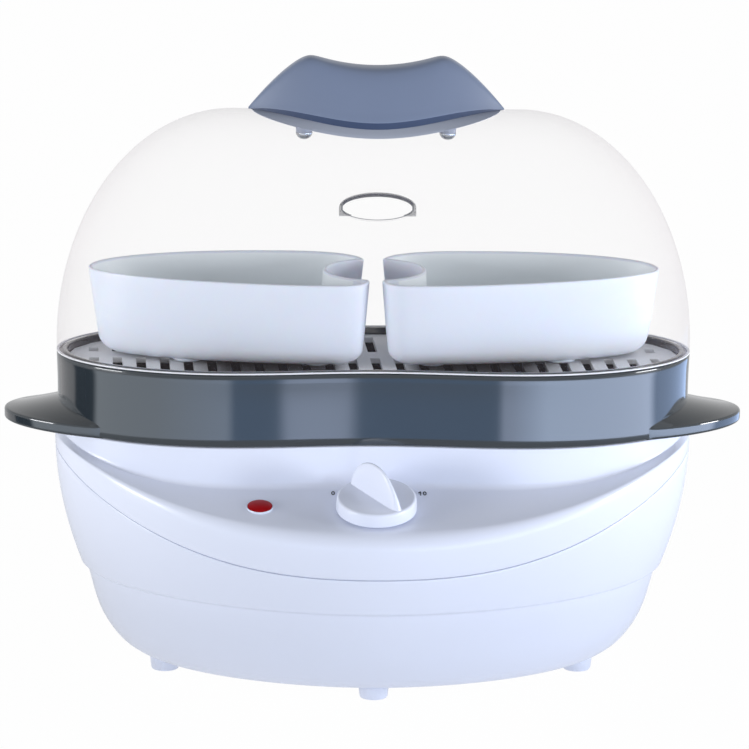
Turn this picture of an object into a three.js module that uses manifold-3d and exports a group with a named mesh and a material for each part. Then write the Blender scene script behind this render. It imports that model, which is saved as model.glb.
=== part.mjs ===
// Countertop egg boiler, in millimetres: X to the right, -Y to the front, +Z up.
// The origin is the middle of the footprint, on the surface that the feet stand on.
import * as THREE from 'three';
import { mergeVertices } from 'three/addons/utils/BufferGeometryUtils.js';
import Module from 'manifold-3d';

const wasm = await Module();
wasm.setup();

// Overall sizes
const reach = 156.2;
const endCentre = 70;
const endDepth = 53.7;
const waistDip = 4.7;
const seatGap = 0.3;
const overrun = 6;

// Steam ring with its two side handles
const ringBottom = 125;
const ringHeight = 36;
const ringWall = 3;
const ringTop = ringBottom + ringHeight;
const lipWall = 2.4;
const lipRise = 1;
const ledgeReach = 4.5;
const ledgeThick = 2.4;
const spigotWall = 2;
const spigotDrop = 6;
const spigotLap = 7;
const gripRootIn = 21;
const gripRootX = reach - gripRootIn;
const gripLength = 47;
const gripDepth = 36;
const gripLengthPower = 1.45;
const gripDepthPower = 2.05;
const gripThick = 5.5;
const gripLift = 2;
const gripRise = 5;
const gripRootDepth = 1.6;
const gripEdgeRound = 1.2;

// Perforated rack that drops into the ring
const rackThick = 2.6;
const rackBelowRim = 2.6;
const rackSlotWidth = 4.8;
const rackSlotPitch = 11.5;
const rackSlotMargin = 6;
const rackMiddleBar = 13;
const rackSlotSlant = 0.05;

// Clear cover and its vent
const domeRise = 116.8;
const domeFoot = 3.4;
const domeWall = 2.5;
const domeTopAngle = 1.50;
const ventLength = 34;
const ventHeight = 11.4;
const ventRiseShare = 0.6466;
const hoodWall = 1.5;
const hoodReach = 3.4;
const hoodSkirt = 4;

// Handle on the cover
const handleReach = 62.2;
const handleDepth = 16;
const handlePeak = 32;
const handlePeakRise = 26.3;
const handleMiddleRise = 21.7;
const handleTipRise = 1.7;
const handleShoulderPower = 1.7;
const handleBand = 3.4;
const handleTipDepth = 1.6;
const handleScrewX = 35;
const handleScrewShank = 4;
const handleScrewHead = 8;
const handleScrewHeadThick = 3.4;
const handleScrewBite = 14;
const washerWidth = 10.5;
const washerThick = 0.9;

// Two steaming bowls
const bowlFootRise = 2.6;
const bowlHeight = 40.7;
const bowlSplit = 4;
const bowlEndGap = 15.4;
const bowlFrontDepth = 43.5;
const bowlRearDepth = 38.2;
const bowlFrontApex = 28;
const bowlRearApex = 55;
const bowlSetBack = 5;
const bowlWall = 2;
const bowlFloor = 2.2;
const bowlDraftEnd = 6;
const bowlDraftSplit = 2.4;
const bowlEdge = 7;
const bowlFootWidth = 15;
const bowlFrontEndPowers = [1.4, 2];
const bowlRearEndPowers = [2.05, 2.05];
const bowlFrontPowers = [5, 5];
const bowlRearPowers = [3, 3];
const notchWidth = 46;

// White housing
const footHeight = 8;
const footTopWidth = 15.4;
const footSoleWidth = 13.8;
const sideFootIn = 53.2;
const sideFootX = reach - sideFootIn;
const sideFootY = -11;
const endFootY = 56;
const shellWall = 2.6;
const neckInset = 0.7;
const neckFillet = 3;
const ovalPower = 1.85;
const stepTop = 55;
const stepHeight = 3.2;
const stepBottom = stepTop - stepHeight;
const wallTaper = 11.2;
const wallHalfWidth = reach - wallTaper;
const wallHalfDepth = 97;
const wallBulgeDepth = 2.5;
const wallSwellPower = 2.1;
const seamClear = 16.5;
const seamMiddle = stepTop + seamClear;
const neckRise = ringBottom - seamMiddle;
const seamRiseShare = 0.7944;
const seamRise = neckRise * seamRiseShare;
const seamPower = 2.88;
const seamGap = 0.3;
const ledgeDropShare = 0.3776;
const ledgeDrop = neckRise * ledgeDropShare;
const ledgePower = 4.7;
const browHeightShare = 0.3925;
const brow = neckRise * browHeightShare;
const browPower = 8;
const browFadeShare = 0.72;
const browDropShare = 0.45;
const browStartShare = 0.76;
const bossWidth = 10;
const postWidth = 8;
const bossRise = 5;
const bossTop = stepTop + bossRise;
const bossPilot = 3.6;
const screwShank = 3;
const screwHead = 6.4;
const screwHeadThick = 2.6;
const screwSink = 3;
const screwBite = 4;
const screwTop = bossTop + screwBite;

// Basin that holds and boils the water
const basinInset = 24;
const bossIn = 17.7;
const bossPlace = { x: reach / 2, y: endDepth - bossIn };
const basinFlange = 7;
const basinWall = 1.4;
const basinDeep = 21;
const basinTaper = 5;
const basinBend = 2.5;
const sealWidth = 5;
const sealThick = 1.2;
const deckDrop = 7;
const deckThick = 2.4;

// Heater, controls and inlet
const elementWidth = 6.6;
const elementIn = 60;
const elementReach = reach - elementIn;
const elementSpread = 12;
const elementTail = 12;
const elementBulgeShare = 1.33;
const clampShare = 0.66;
const clampLength = 12;
const clampThick = 1.6;
const thermostatWidth = 17;
const thermostatThick = 8;
const fuseWidth = 7;
const fuseLength = 20;
const fuseX = 30;
const tabThick = 1;
const tabWidth = 6;
const tabLength = 7;
const tabSpread = 4;
const knobShare = 0.9;
const knobWidth = (wallHalfDepth - endDepth) * knobShare;
const knobSkirt = 7;
const knobEdge = 1.2;
const knobFin = 13.5;
const knobFinThick = 5;
const knobTurn = -0.94;
const knobLift = 0.8;
const controlShare = 0.45;
const shaftWidth = 6;
const bushWidth = 9;
const bushLength = 3.2;
const nutWidth = 13;
const nutThick = 2.2;
const switchWidth = 30;
const switchDepth = 26;
const switchHeight = 18;
const lampX = 56;
const lampWidth = 12;
const lampFlange = 1.1;
const lampSeat = 0.6;
const lampCrown = 1.5;
const lampCrownShare = 0.75;
const lampStem = 8.4;
const lampBodyWidth = 10.4;
const lampBodyHeight = 20;
const glandBore = 7.4;
const glandBody = 11.6;
const glandFlange = 17;
const glandFlangeThick = 2;
const glandTail = 7;
const glandSeat = 1.5;
const blockLength = 30;
const blockDepth = 13;
const blockHeight = 15;
const blockY = 50;

// Facet counts
const endSteps = 12;
const middleSteps = 5;
const domeSteps = 8;
const bowlSteps = 32;
const roundSteps = 16;
const smallSteps = 8;
const knobSteps = 28;
const finSteps = 8;
const nutSides = 6;
const elementSteps = 16;
const elementSides = 3;
const ventSteps = 24;
const hoodSteps = 9;
const gripSteps = 12;
const handleSteps = 16;

// Shares of the housing's width and depth below its step, from the step down to the floor
const tubShares = [
  { height: 1, width: 0.977, depth: 0.968 },
  { height: 0.62, width: 0.947, depth: 0.93 },
  { height: 0.38, width: 0.915, depth: 0.885 },
  { height: 0.16, width: 0.865, depth: 0.805 },
  { height: 0.03, width: 0.81, depth: 0.73 },
  { height: 0, width: 0.775, depth: 0.69 },
];

// Shares of the way down the tub's wall, along the ledge and round the brow, at which a row of points lies
const wallShares = [0, 0.33, 0.66, 1];
const ledgeShares = [0.07, 0.4, browStartShare];
const browShares = [0.35, 0.7, 1];
const slopeShares = { upper: 0.2, lower: 0.6 };
const glandRow = 1;

// Shares of a grip's width and rise over its top, from the edge to the root
const gripTopShares = [[0.5, 0.42], [1, 1]];

// Shares of a handle section's half depth and height, from the foot band up to the crest
const handleShares = [[0.95, 0.06], [0.83, 0.4], [0.7, 0.75], [0.5, 0.95], [0.25, 1]];

// Shares of a bowl's half length and front depth at which its four feet stand
const bowlFootShares = [[-0.6, 0.5], [-0.6, -0.5], [0.4, 0.34], [0.3, -0.34]];

// Shares of a screw head's width and height down its round side
const headShares = [[0.25, 0.9], [0.43, 0.55]];

const finish = {
  shell: { color: 0xe4e9f2, roughness: 0.35, metalness: 0 },
  grey: { color: 0x54606c, roughness: 0.3, metalness: 0 },
  handle: { color: 0x6f7f96, roughness: 0.3, metalness: 0 },
  clear: { color: 0xf4f0f0, roughness: 0.05, metalness: 0, transparent: true, opacity: 0.3 },
  bowl: { color: 0xdde4f2, roughness: 0.4, metalness: 0 },
  rack: { color: 0xb4b8be, roughness: 0.4, metalness: 0 },
  steel: { color: 0xb8bcc0, roughness: 0.3, metalness: 1 },
  dark: { color: 0x26282c, roughness: 0.6, metalness: 0 },
  red: { color: 0x96000a, roughness: 0.15, metalness: 0 },
  cream: { color: 0xd8d2c0, roughness: 0.6, metalness: 0 },
};

const boiler = new THREE.Group();

function addPiece(name, geometry, look, parent = boiler) {
  geometry.computeVertexNormals();
  const piece = new THREE.Mesh(geometry, new THREE.MeshStandardMaterial(look));
  piece.name = name;
  parent.add(piece);
  return piece;
}

// Solids: a three.js geometry goes in, joins and cuts are made, and a geometry comes back
function toSolid(geometry) {
  const bare = new THREE.BufferGeometry();
  bare.setAttribute('position', geometry.getAttribute('position').clone());
  if (geometry.index) bare.setIndex(geometry.index.clone());
  const merged = mergeVertices(bare);
  return new wasm.Manifold(new wasm.Mesh({
    numProp: 3,
    vertProperties: new Float32Array(merged.getAttribute('position').array),
    triVerts: new Uint32Array(merged.index.array),
  }));
}

function toGeometry(solid) {
  const mesh = solid.getMesh();
  const geometry = new THREE.BufferGeometry();
  geometry.setAttribute('position', new THREE.BufferAttribute(mesh.vertProperties, 3));
  geometry.setIndex(new THREE.BufferAttribute(mesh.triVerts, 1));
  return geometry;
}

function join(...geometries) {
  return toGeometry(geometries.map(toSolid).reduce((whole, part) => whole.add(part)));
}

function cut(geometry, ...tools) {
  return toGeometry(tools.map(toSolid).reduce((whole, tool) => whole.subtract(tool), toSolid(geometry)));
}

// A closed skin over rings of points: the ends get a flat fan, or the last ring meets the first
function skin(rings, looped = false) {
  const count = rings[0].length;
  const points = rings.flat();
  const faces = [];
  const bands = looped ? rings.length : rings.length - 1;
  for (let band = 0; band < bands; band += 1) {
    const near = band * count;
    const far = ((band + 1) % rings.length) * count;
    for (let k = 0; k < count; k += 1) {
      const next = (k + 1) % count;
      faces.push(near + k, near + next, far + next, near + k, far + next, far + k);
    }
  }
  if (!looped) {
    const middle = (ring) => ring.reduce((sum, p) => sum.add(p), new THREE.Vector3()).divideScalar(count);
    const last = (rings.length - 1) * count;
    points.push(middle(rings[0]), middle(rings[rings.length - 1]));
    for (let k = 0; k < count; k += 1) {
      const next = (k + 1) % count;
      faces.push(points.length - 2, next, k, points.length - 1, last + k, last + next);
    }
  }
  return outward(points, faces);
}

function outward(points, faces) {
  let volume = 0;
  for (let f = 0; f < faces.length; f += 3) {
    const [a, b, c] = [points[faces[f]], points[faces[f + 1]], points[faces[f + 2]]];
    volume += a.dot(b.clone().cross(c));
  }
  if (volume < 0) faces.reverse();
  const geometry = new THREE.BufferGeometry().setFromPoints(points);
  geometry.setIndex(faces);
  return geometry;
}

// The plan shared by ring, cover, rack and basin: round ends joined by a gentle waist
function waistDepth(x) {
  return waistDip * (0.5 + 0.5 * Math.cos((Math.PI * x) / endCentre));
}

function planPoints(inset, z, share = 1) {
  const half = (endDepth - inset) * share;
  const length = (reach - endCentre - inset) * share;
  const flank = (x) => half - waistDepth(x) * share;
  const points = [];
  const put = (x, y) => points.push(new THREE.Vector3(x, y, z));
  for (const side of [1, -1]) {
    for (let k = 0; k < endSteps; k += 1) {
      const angle = Math.PI * (k / endSteps - 0.5);
      put(side * (endCentre + length * Math.cos(angle)), side * half * Math.sin(angle));
    }
    for (let k = 0; k < middleSteps; k += 1) {
      const x = endCentre * (1 - (2 * k) / middleSteps);
      put(side * x, side * flank(x));
    }
  }
  return points;
}

function planShape(inset) {
  return new THREE.Shape(planPoints(inset, 0).map((p) => new THREE.Vector2(p.x, p.y)));
}

function plate(shape, bottom, thick) {
  const geometry = new THREE.ExtrudeGeometry(shape, { depth: thick, bevelEnabled: false });
  geometry.translate(0, 0, bottom);
  return geometry;
}

function planBand(outerInset, innerInset, bottom, thick) {
  const shape = planShape(outerInset);
  shape.holes.push(planShape(innerInset));
  return plate(shape, bottom, thick);
}

function post(width, bottom, top, x = 0, y = 0, steps = roundSteps, widthTop = width) {
  const geometry = new THREE.CylinderGeometry(widthTop / 2, width / 2, top - bottom, steps);
  geometry.rotateX(Math.PI / 2);
  geometry.translate(x, y, (top + bottom) / 2);
  return geometry;
}

function block(width, depth, height, x, y, bottom) {
  const geometry = new THREE.BoxGeometry(width, depth, height);
  geometry.translate(x, y, bottom + height / 2);
  return geometry;
}

function turned(profile, steps = roundSteps) {
  const geometry = new THREE.LatheGeometry(profile.map(([r, z]) => new THREE.Vector2(r, z)), steps);
  geometry.rotateX(Math.PI / 2);
  return outward(...pointsAndFaces(geometry));
}

function pointsAndFaces(geometry) {
  geometry.deleteAttribute('uv');
  geometry.deleteAttribute('normal');
  const merged = mergeVertices(geometry);
  const place = merged.getAttribute('position');
  const pointAt = (_, k) => new THREE.Vector3().fromBufferAttribute(place, k);
  const points = Array.from({ length: place.count }, pointAt);
  const index = Array.from(merged.index.array);
  const faces = [];
  for (let f = 0; f < index.length; f += 3) {
    const [a, b, c] = index.slice(f, f + 3);
    if (a !== b && b !== c && c !== a) faces.push(a, b, c);
  }
  return [points, faces];
}

// White housing: the ring's plan at the neck swells to an oval below a smile-shaped seam
const ovalTop = reach - neckInset;
const neckTop = ringBottom - seatGap;

function seamHeight(x) {
  return seamMiddle + seamRise * (Math.abs(x) / reach) ** seamPower;
}

function browHeight(x) {
  return brow * (1 - browFadeShare * (Math.abs(x) / reach) ** browPower);
}

function ledgeHeight(x) {
  return neckTop - ledgeDrop + (ledgeDrop - seatGap) * (Math.abs(x) / reach) ** ledgePower;
}

function ovalPoint(planPoint, z, inset = 0, widthShare = 1, depthShare = 1) {
  const across = Math.min(1, Math.abs(planPoint.x) / ovalTop);
  const back = (1 - across ** ovalPower) ** (1 / ovalPower);
  const climb = Math.min(1, Math.max(0, (z - stepTop) / (neckTop - neckFillet - stepTop)));
  const swell = 1 - (1 - climb) ** wallSwellPower;
  const halfWidth = (wallHalfWidth + (ovalTop - wallHalfWidth) * swell) * widthShare - inset;
  const halfDepth = (wallHalfDepth + wallBulgeDepth * swell) * depthShare - inset;
  return new THREE.Vector3(
    Math.sign(planPoint.x) * across * halfWidth,
    Math.sign(planPoint.y) * back * halfDepth,
    z,
  );
}

// Point on the sloping ledge: share 0 is at the neck, share 1 is the brow above the seam
function ledgePoint(neckPoint, share) {
  const inner = neckPoint.clone().setZ(ledgeHeight(neckPoint.x));
  const outer = ovalPoint(neckPoint, seamHeight(neckPoint.x) + browHeight(neckPoint.x));
  return inner.lerp(outer, share);
}

function browPoint(neckPoint, share) {
  const outer = ledgePoint(neckPoint, 1);
  const start = ledgePoint(neckPoint, browStartShare);
  const end = ovalPoint(neckPoint, outer.z - browDropShare * browHeight(neckPoint.x));
  const near = start.lerp(outer, share);
  return near.lerp(outer.lerp(end, share), share);
}

function insetRings(rings, depth) {
  return rings.map((ring, row) => ring.map((point, k) => {
    const along = ring[(k + 1) % ring.length].clone().sub(ring[(k + ring.length - 1) % ring.length]);
    const above = rings[Math.max(0, row - 1)][k];
    const below = rings[Math.min(rings.length - 1, row + 1)][k];
    const normal = along.cross(above.clone().sub(below)).normalize();
    return point.clone().addScaledVector(normal, -depth);
  }));
}

const neckPlan = planPoints(neckInset, neckTop);

function neckFoot(neckPoint) {
  const low = ledgeHeight(neckPoint.x);
  return neckPoint.clone().setZ(Math.max(low, Math.min(low + neckFillet, neckPoint.z - seatGap / 2)));
}

const housingRings = [
  neckPlan,
  neckPlan.map(neckFoot),
  ...ledgeShares.map((share) => neckPlan.map((p) => ledgePoint(p, share))),
  ...browShares.map((share) => neckPlan.map((p) => browPoint(p, share))),
  neckPlan.map((p) => ovalPoint(p, seamHeight(p.x) + seamGap / 2)),
];

const tubFloor = footHeight;

function tubRings(inset, lowest) {
  const wall = wallShares.map((share) => neckPlan.map((p) => {
    const top = seamHeight(p.x) - seamGap / 2;
    return ovalPoint(p, top + (stepTop - top) * share, inset);
  }));
  const low = tubShares.map((row) => {
    const z = Math.max(lowest, tubFloor + (stepBottom - tubFloor) * row.height);
    return neckPlan.map((p) => ovalPoint(p, z, inset, row.width, row.depth));
  });
  return [...wall, ...low];
}

function housingInside() {
  const rings = insetRings(housingRings, shellWall);
  const seam = (p) => ovalPoint(p, seamHeight(p.x) + seamGap / 2, shellWall);
  return [planPoints(neckInset + shellWall, neckTop), ...rings.slice(1, -1), neckPlan.map(seam)];
}

// The console's axis stands square to the ledge
const frontNeck = new THREE.Vector3(0, -(endDepth - waistDip - neckInset), neckTop);
const controlPlace = ledgePoint(frontNeck, controlShare);
const ledgeRun = ledgePoint(frontNeck, slopeShares.lower).sub(ledgePoint(frontNeck, slopeShares.upper));
const controlTilt = Math.atan2(-ledgeRun.z, -ledgeRun.y);

function lampNeck() {
  return new THREE.Vector3(-lampX, waistDepth(lampX) - (endDepth - neckInset), neckTop);
}

const lampPlace = ledgePoint(lampNeck(), controlShare);

function onLedge(geometry, place) {
  geometry.rotateX(controlTilt);
  geometry.translate(place.x, place.y, place.z);
  return geometry;
}

const deckTop = neckTop - deckDrop;
const deckBottom = deckTop - deckThick;

function bossPlaces() {
  return [[1, 1], [-1, 1], [-1, -1], [1, -1]].map(([sx, sy]) => [sx * bossPlace.x, sy * bossPlace.y]);
}

function makeUpperHousing() {
  const body = skin([...housingRings, ...housingInside().reverse()], true);
  const deck = planBand(neckInset + shellWall / 2, basinInset - seatGap, deckBottom, deckThick);
  const deckMiddle = deckTop - deckThick / 2;
  const postFoot = bossTop + seatGap;
  const pilotTop = screwTop + overrun;
  const posts = bossPlaces().map(([x, y]) => post(postWidth, postFoot, deckMiddle, x, y, smallSteps));
  const pilotFoot = bossTop - overrun;
  const pilots = bossPlaces().map(([x, y]) => post(bossPilot, pilotFoot, pilotTop, x, y, smallSteps));
  const shaftHole = onLedge(post(bushWidth + 2 * seatGap, -shellWall - overrun, overrun), controlPlace);
  const lampHole = onLedge(post(lampStem + 2 * seatGap, -shellWall - overrun, overrun), lampPlace);
  return cut(join(body, deck, ...posts), ...pilots, shaftHole, lampHole);
}

const glandPlace = ovalPoint(
  new THREE.Vector3(0, 1, 0),
  tubFloor + (stepBottom - tubFloor) * tubShares[glandRow].height,
  0,
  tubShares[glandRow].width,
  tubShares[glandRow].depth,
);

function acrossWall(geometry) {
  geometry.rotateX(-Math.PI / 2);
  geometry.translate(glandPlace.x, glandPlace.y, glandPlace.z);
  return geometry;
}

function makeLowerTub() {
  const body = skin([...tubRings(0, tubFloor).reverse(), ...tubRings(shellWall, tubFloor + shellWall)]);
  const headRoom = tubFloor + screwSink + screwHeadThick;
  const bossFoot = tubFloor + shellWall / 2;
  const bosses = bossPlaces().map(([x, y]) => post(bossWidth, bossFoot, bossTop, x, y, smallSteps));
  const sinkWidth = screwHead + 2 * seatGap;
  const sinks = bossPlaces().map(([x, y]) => post(sinkWidth, tubFloor - overrun, headRoom, x, y, smallSteps));
  const bores = bossPlaces().map(([x, y]) => post(bossPilot, tubFloor, bossTop + overrun, x, y, smallSteps));
  const glandHole = acrossWall(post(glandBody + 2 * seatGap, -overrun, overrun));
  return cut(join(body, ...bosses), ...sinks, ...bores, glandHole);
}

addPiece('upper_housing', makeUpperHousing(), finish.shell);
addPiece('lower_tub', makeLowerTub(), finish.shell);

// Feet and the housing screws
const footPlaces = {
  foot_left: [-sideFootX, sideFootY],
  foot_right: [sideFootX, sideFootY],
  foot_front: [0, -endFootY],
  foot_rear: [0, endFootY],
};
for (const [name, [x, y]] of Object.entries(footPlaces)) {
  addPiece(name, post(footSoleWidth, 0, tubFloor - seatGap, x, y, roundSteps, footTopWidth), finish.shell);
}

bossPlaces().forEach(([x, y], k) => {
  const under = tubFloor + screwSink;
  const head = post(screwHead, under, under + screwHeadThick - seatGap, x, y, smallSteps);
  const shank = post(screwShank, under + screwHeadThick / 2, screwTop, x, y, smallSteps);
  addPiece(`housing_screw_${k + 1}`, join(head, shank), finish.steel);
});

// Water basin: a drawn metal dish whose flange lies on a seal on the housing's deck
const sealTop = deckTop + seatGap + sealThick;
const basinTop = sealTop + seatGap + basinWall;
const basinFloor = basinTop - basinDeep;

function makeBasin() {
  const inside = [
    planPoints(basinInset + basinTaper + basinWall / 2, basinFloor),
    planPoints(basinInset + basinTaper / 2 + basinWall, basinFloor + basinBend),
    planPoints(basinInset + basinWall, basinTop),
  ];
  const outside = [
    planPoints(basinInset - basinFlange, basinTop),
    planPoints(basinInset - basinFlange, basinTop - basinWall),
    planPoints(basinInset, basinTop - basinWall),
    planPoints(basinInset + basinTaper / 2, basinFloor + basinBend - basinWall),
    planPoints(basinInset + basinTaper, basinFloor - basinWall),
  ];
  return skin([...inside, ...outside]);
}

const sealInset = basinInset - basinFlange + seatGap;

addPiece('water_basin', makeBasin(), finish.steel);
addPiece('basin_seal', planBand(sealInset, sealInset + sealWidth, deckTop + seatGap, sealThick), finish.dark);

// Heating element under the basin, with its clamps, thermostat and fuse
const basinUnder = basinFloor - basinWall;
const elementTop = basinUnder - seatGap;

function makeElement() {
  const path = new THREE.CurvePath();
  const flat = (x, y) => new THREE.Vector3(x, y, elementTop - elementWidth / 2);
  const start = -elementReach - elementTail;
  const bulge = elementReach + elementSpread * elementBulgeShare;
  path.add(new THREE.LineCurve3(flat(start, -elementSpread), flat(elementReach, -elementSpread)));
  path.add(new THREE.CubicBezierCurve3(
    flat(elementReach, -elementSpread),
    flat(bulge, -elementSpread),
    flat(bulge, elementSpread),
    flat(elementReach, elementSpread),
  ));
  path.add(new THREE.LineCurve3(flat(elementReach, elementSpread), flat(start, elementSpread)));
  const section = new THREE.Shape().absarc(0, 0, elementWidth / 2, 0, 2 * Math.PI);
  const [steps, curveSegments] = [elementSteps, elementSides];
  return new THREE.ExtrudeGeometry(section, { steps, curveSegments, extrudePath: path, bevelEnabled: false });
}

function makeClamp(x) {
  const inner = 2 * elementSpread + elementWidth + 2 * seatGap;
  const tall = elementWidth + seatGap;
  const bottom = elementTop - tall;
  const outer = block(clampLength, inner + 2 * clampThick, tall + clampThick, x, 0, bottom - clampThick);
  const room = block(clampLength + overrun, inner, tall + overrun, x, 0, bottom);
  return cut(outer, room);
}

function makeThermostat() {
  const drum = post(thermostatWidth - 4 * seatGap, elementTop - thermostatThick, elementTop);
  const tabBottom = elementTop - thermostatThick - tabLength + seatGap;
  const tab = (side) => block(tabThick, tabWidth, tabLength, side * tabSpread, 0, tabBottom);
  return join(drum, tab(-1), tab(1));
}

addPiece('heating_element', makeElement(), finish.steel);
addPiece('element_clamp_left', makeClamp(-elementReach * clampShare), finish.steel);
addPiece('element_clamp_right', makeClamp(elementReach * clampShare), finish.steel);
addPiece('thermostat', makeThermostat(), finish.dark);
const fuse = block(fuseLength, fuseWidth, fuseWidth, fuseX, 0, elementTop - fuseWidth);
addPiece('thermal_fuse', fuse, finish.cream);

// Cord inlet and the terminal block behind it
function makeCordGland() {
  const flange = post(glandFlange, seatGap + glandSeat, seatGap + glandSeat + glandFlangeThick);
  const stem = post(glandBody, -glandTail, seatGap + glandSeat + glandFlangeThick / 2);
  const bore = post(glandBore, -glandTail - overrun, glandFlangeThick + overrun);
  return acrossWall(cut(join(flange, stem), bore));
}

addPiece('cord_gland', makeCordGland(), finish.dark);
addPiece(
  'terminal_block',
  block(blockLength, blockDepth, blockHeight, 0, blockY, tubFloor + shellWall + seatGap),
  finish.cream,
);

// Rotary switch under the ledge, its nut and shaft, and the knob
function consolePiece(name, geometry, look, place) {
  addPiece(name, onLedge(geometry, place), look);
}

const underLedge = -shellWall - 2 * seatGap;

function makeSwitch() {
  const box = block(switchWidth, switchDepth, switchHeight, 0, 0, underLedge - switchHeight);
  const bush = post(bushWidth, underLedge - seatGap, bushLength);
  const bore = post(shaftWidth + 2 * seatGap, underLedge - switchHeight / 2, bushLength + overrun);
  return cut(join(box, bush), bore);
}

function makeKnob() {
  const top = knobLift + knobSkirt;
  const disc = turned([
    [0, knobLift],
    [knobWidth / 2 - seatGap, knobLift],
    [knobWidth / 2, knobLift + seatGap],
    [knobWidth / 2 - knobEdge / 3, top - knobEdge],
    [knobWidth / 2 - knobEdge, top],
    [0, top],
  ], knobSteps);
  const outline = new THREE.Shape();
  outline.absellipse(0, 0, knobWidth / 2 - knobEdge, knobFin, 0, Math.PI);
  const settings = { depth: knobFinThick, curveSegments: finSteps, bevelEnabled: false };
  const fin = new THREE.ExtrudeGeometry(outline, settings);
  fin.translate(0, 0, -knobFinThick / 2);
  fin.rotateX(Math.PI / 2);
  fin.rotateZ(knobTurn);
  fin.translate(0, 0, top - seatGap);
  const nutRoom = post(nutWidth + 4 * seatGap, -overrun, seatGap * 2 + nutThick + knobLift);
  const socket = post(shaftWidth + 2 * seatGap, -overrun, top - seatGap);
  return cut(join(disc, fin), nutRoom, socket);
}

function makeNut() {
  const hex = post(nutWidth, seatGap, seatGap + nutThick, 0, 0, nutSides);
  return cut(hex, post(bushWidth + 2 * seatGap, -overrun, overrun));
}

consolePiece('rotary_switch', makeSwitch(), finish.dark, controlPlace);
consolePiece('switch_nut', makeNut(), finish.steel, controlPlace);
const shaftFoot = underLedge - switchHeight / 2 + seatGap;
const shaftTop = knobLift + knobSkirt - 2 * seatGap;
consolePiece('knob_shaft', post(shaftWidth, shaftFoot, shaftTop), finish.steel, controlPlace);
consolePiece('control_knob', makeKnob(), finish.shell, controlPlace);

// Red indicator lens and the neon lamp behind it
function makeLens() {
  return turned([
    [0, underLedge + seatGap],
    [lampStem / 2, underLedge + seatGap],
    [lampStem / 2, lampSeat],
    [lampWidth / 2, lampSeat],
    [lampWidth / 2, lampSeat + lampFlange],
    [lampWidth / 3, lampSeat + lampFlange + lampCrown * lampCrownShare],
    [0, lampSeat + lampFlange + lampCrown],
  ]);
}

consolePiece('indicator_lens', makeLens(), finish.red, lampPlace);
const lampBody = post(lampBodyWidth, underLedge - lampBodyHeight, underLedge);
consolePiece('indicator_lamp', lampBody, finish.cream, lampPlace);

// Steam ring: an open wall with a lip for the cover, a ledge for the rack and a spigot below
const lipInset = domeWall + seatGap;
const lipInner = lipInset + lipWall;
const rackTop = ringTop - rackBelowRim;
const ledgeTop = rackTop - rackThick - seatGap;
const spigotInset = neckInset + shellWall + seatGap;

function powerCurve(angle, halfLength, halfDepth, lengthPower, depthPower) {
  const [c, s] = [Math.cos(angle), Math.sin(angle)];
  return [
    halfLength * Math.sign(c) * Math.abs(c) ** (2 / lengthPower),
    halfDepth * Math.sign(s) * Math.abs(s) ** (2 / depthPower),
  ];
}

function gripSection(angle) {
  const [along, y] = powerCurve(angle, gripLength, gripDepth, gripLengthPower, gripDepthPower);
  const outer = gripRootX + along;
  const half = endDepth - gripRootDepth;
  const inner = endCentre + (reach - endCentre - gripRootDepth) * Math.sqrt(1 - (y / half) ** 2);
  const width = outer - inner;
  const fullWidth = gripRootX + gripLength - reach + gripRootDepth;
  const bottom = ringBottom + gripLift * (along / gripLength);
  const top = bottom + gripThick;
  const rise = gripRise * Math.min(1, width / fullWidth);
  const edge = Math.min(gripEdgeRound, width / 4);
  return [
    [inner, ringBottom],
    [outer - edge, bottom],
    [outer, bottom + edge],
    [outer, top - edge],
    [outer - edge, top],
    ...gripTopShares.map(([inward, up]) => [outer - edge + (inner - outer + edge) * inward, top + rise * up]),
  ].map(([x, z]) => new THREE.Vector3(x, y, z));
}

function makeGrip(side) {
  const sections = [];
  for (let k = 0; k <= gripSteps; k += 1) {
    sections.push(gripSection(Math.PI * (k / gripSteps - 0.5)));
  }
  const mirrored = sections.map((ring) => ring.map((p) => new THREE.Vector3(side * p.x, p.y, p.z)));
  return skin(mirrored);
}

function makeRing() {
  const ledgeBottom = ledgeTop - ledgeThick;
  const wall = planBand(0, ringWall, ringBottom, ringHeight);
  const lip = planBand(lipInset, lipInner, ledgeBottom, ringTop + lipRise - ledgeBottom);
  const ledge = planBand(lipInset, lipInner + ledgeReach, ledgeBottom, ledgeThick);
  const web = planBand(ringWall / 2, spigotInset + spigotWall, ringBottom, ledgeThick);
  const spigotInner = spigotInset + spigotWall;
  const spigot = planBand(spigotInset, spigotInner, ringBottom - spigotDrop, spigotDrop + spigotLap);
  return join(wall, lip, ledge, web, spigot, makeGrip(1), makeGrip(-1));
}

addPiece('steam_ring', makeRing(), finish.grey);

// Rack: a flat plate with two rows of slanted slots
const rackInset = lipInner + seatGap;

function planHalfDepth(x, inset) {
  const beyond = Math.max(0, Math.abs(x) - endCentre) / (reach - endCentre - inset);
  if (beyond >= 1) return 0;
  const dip = Math.abs(x) < endCentre ? waistDepth(x) : 0;
  return (endDepth - inset - dip) * Math.sqrt(1 - beyond ** 2);
}

function rackSlots() {
  const slots = [];
  const columns = Math.floor((reach - rackInset - rackSlotMargin) / rackSlotPitch);
  for (let column = -columns; column <= columns; column += 1) {
    for (const side of [1, -1]) {
      const x = column * rackSlotPitch;
      const far = planHalfDepth(Math.abs(x) + rackSlotWidth / 2, rackInset + rackSlotMargin);
      const near = rackMiddleBar / 2;
      if (far - near < rackSlotWidth) continue;
      const middle = (y) => x - rackSlotSlant * y * side;
      const corner = (edge, y) => new THREE.Vector2(middle(y) + (edge * rackSlotWidth) / 2, y * side);
      const outline = new THREE.Shape([corner(-1, near), corner(1, near), corner(1, far), corner(-1, far)]);
      slots.push(plate(outline, rackTop - rackThick - overrun, rackThick + 2 * overrun));
    }
  }
  return slots;
}

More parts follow.
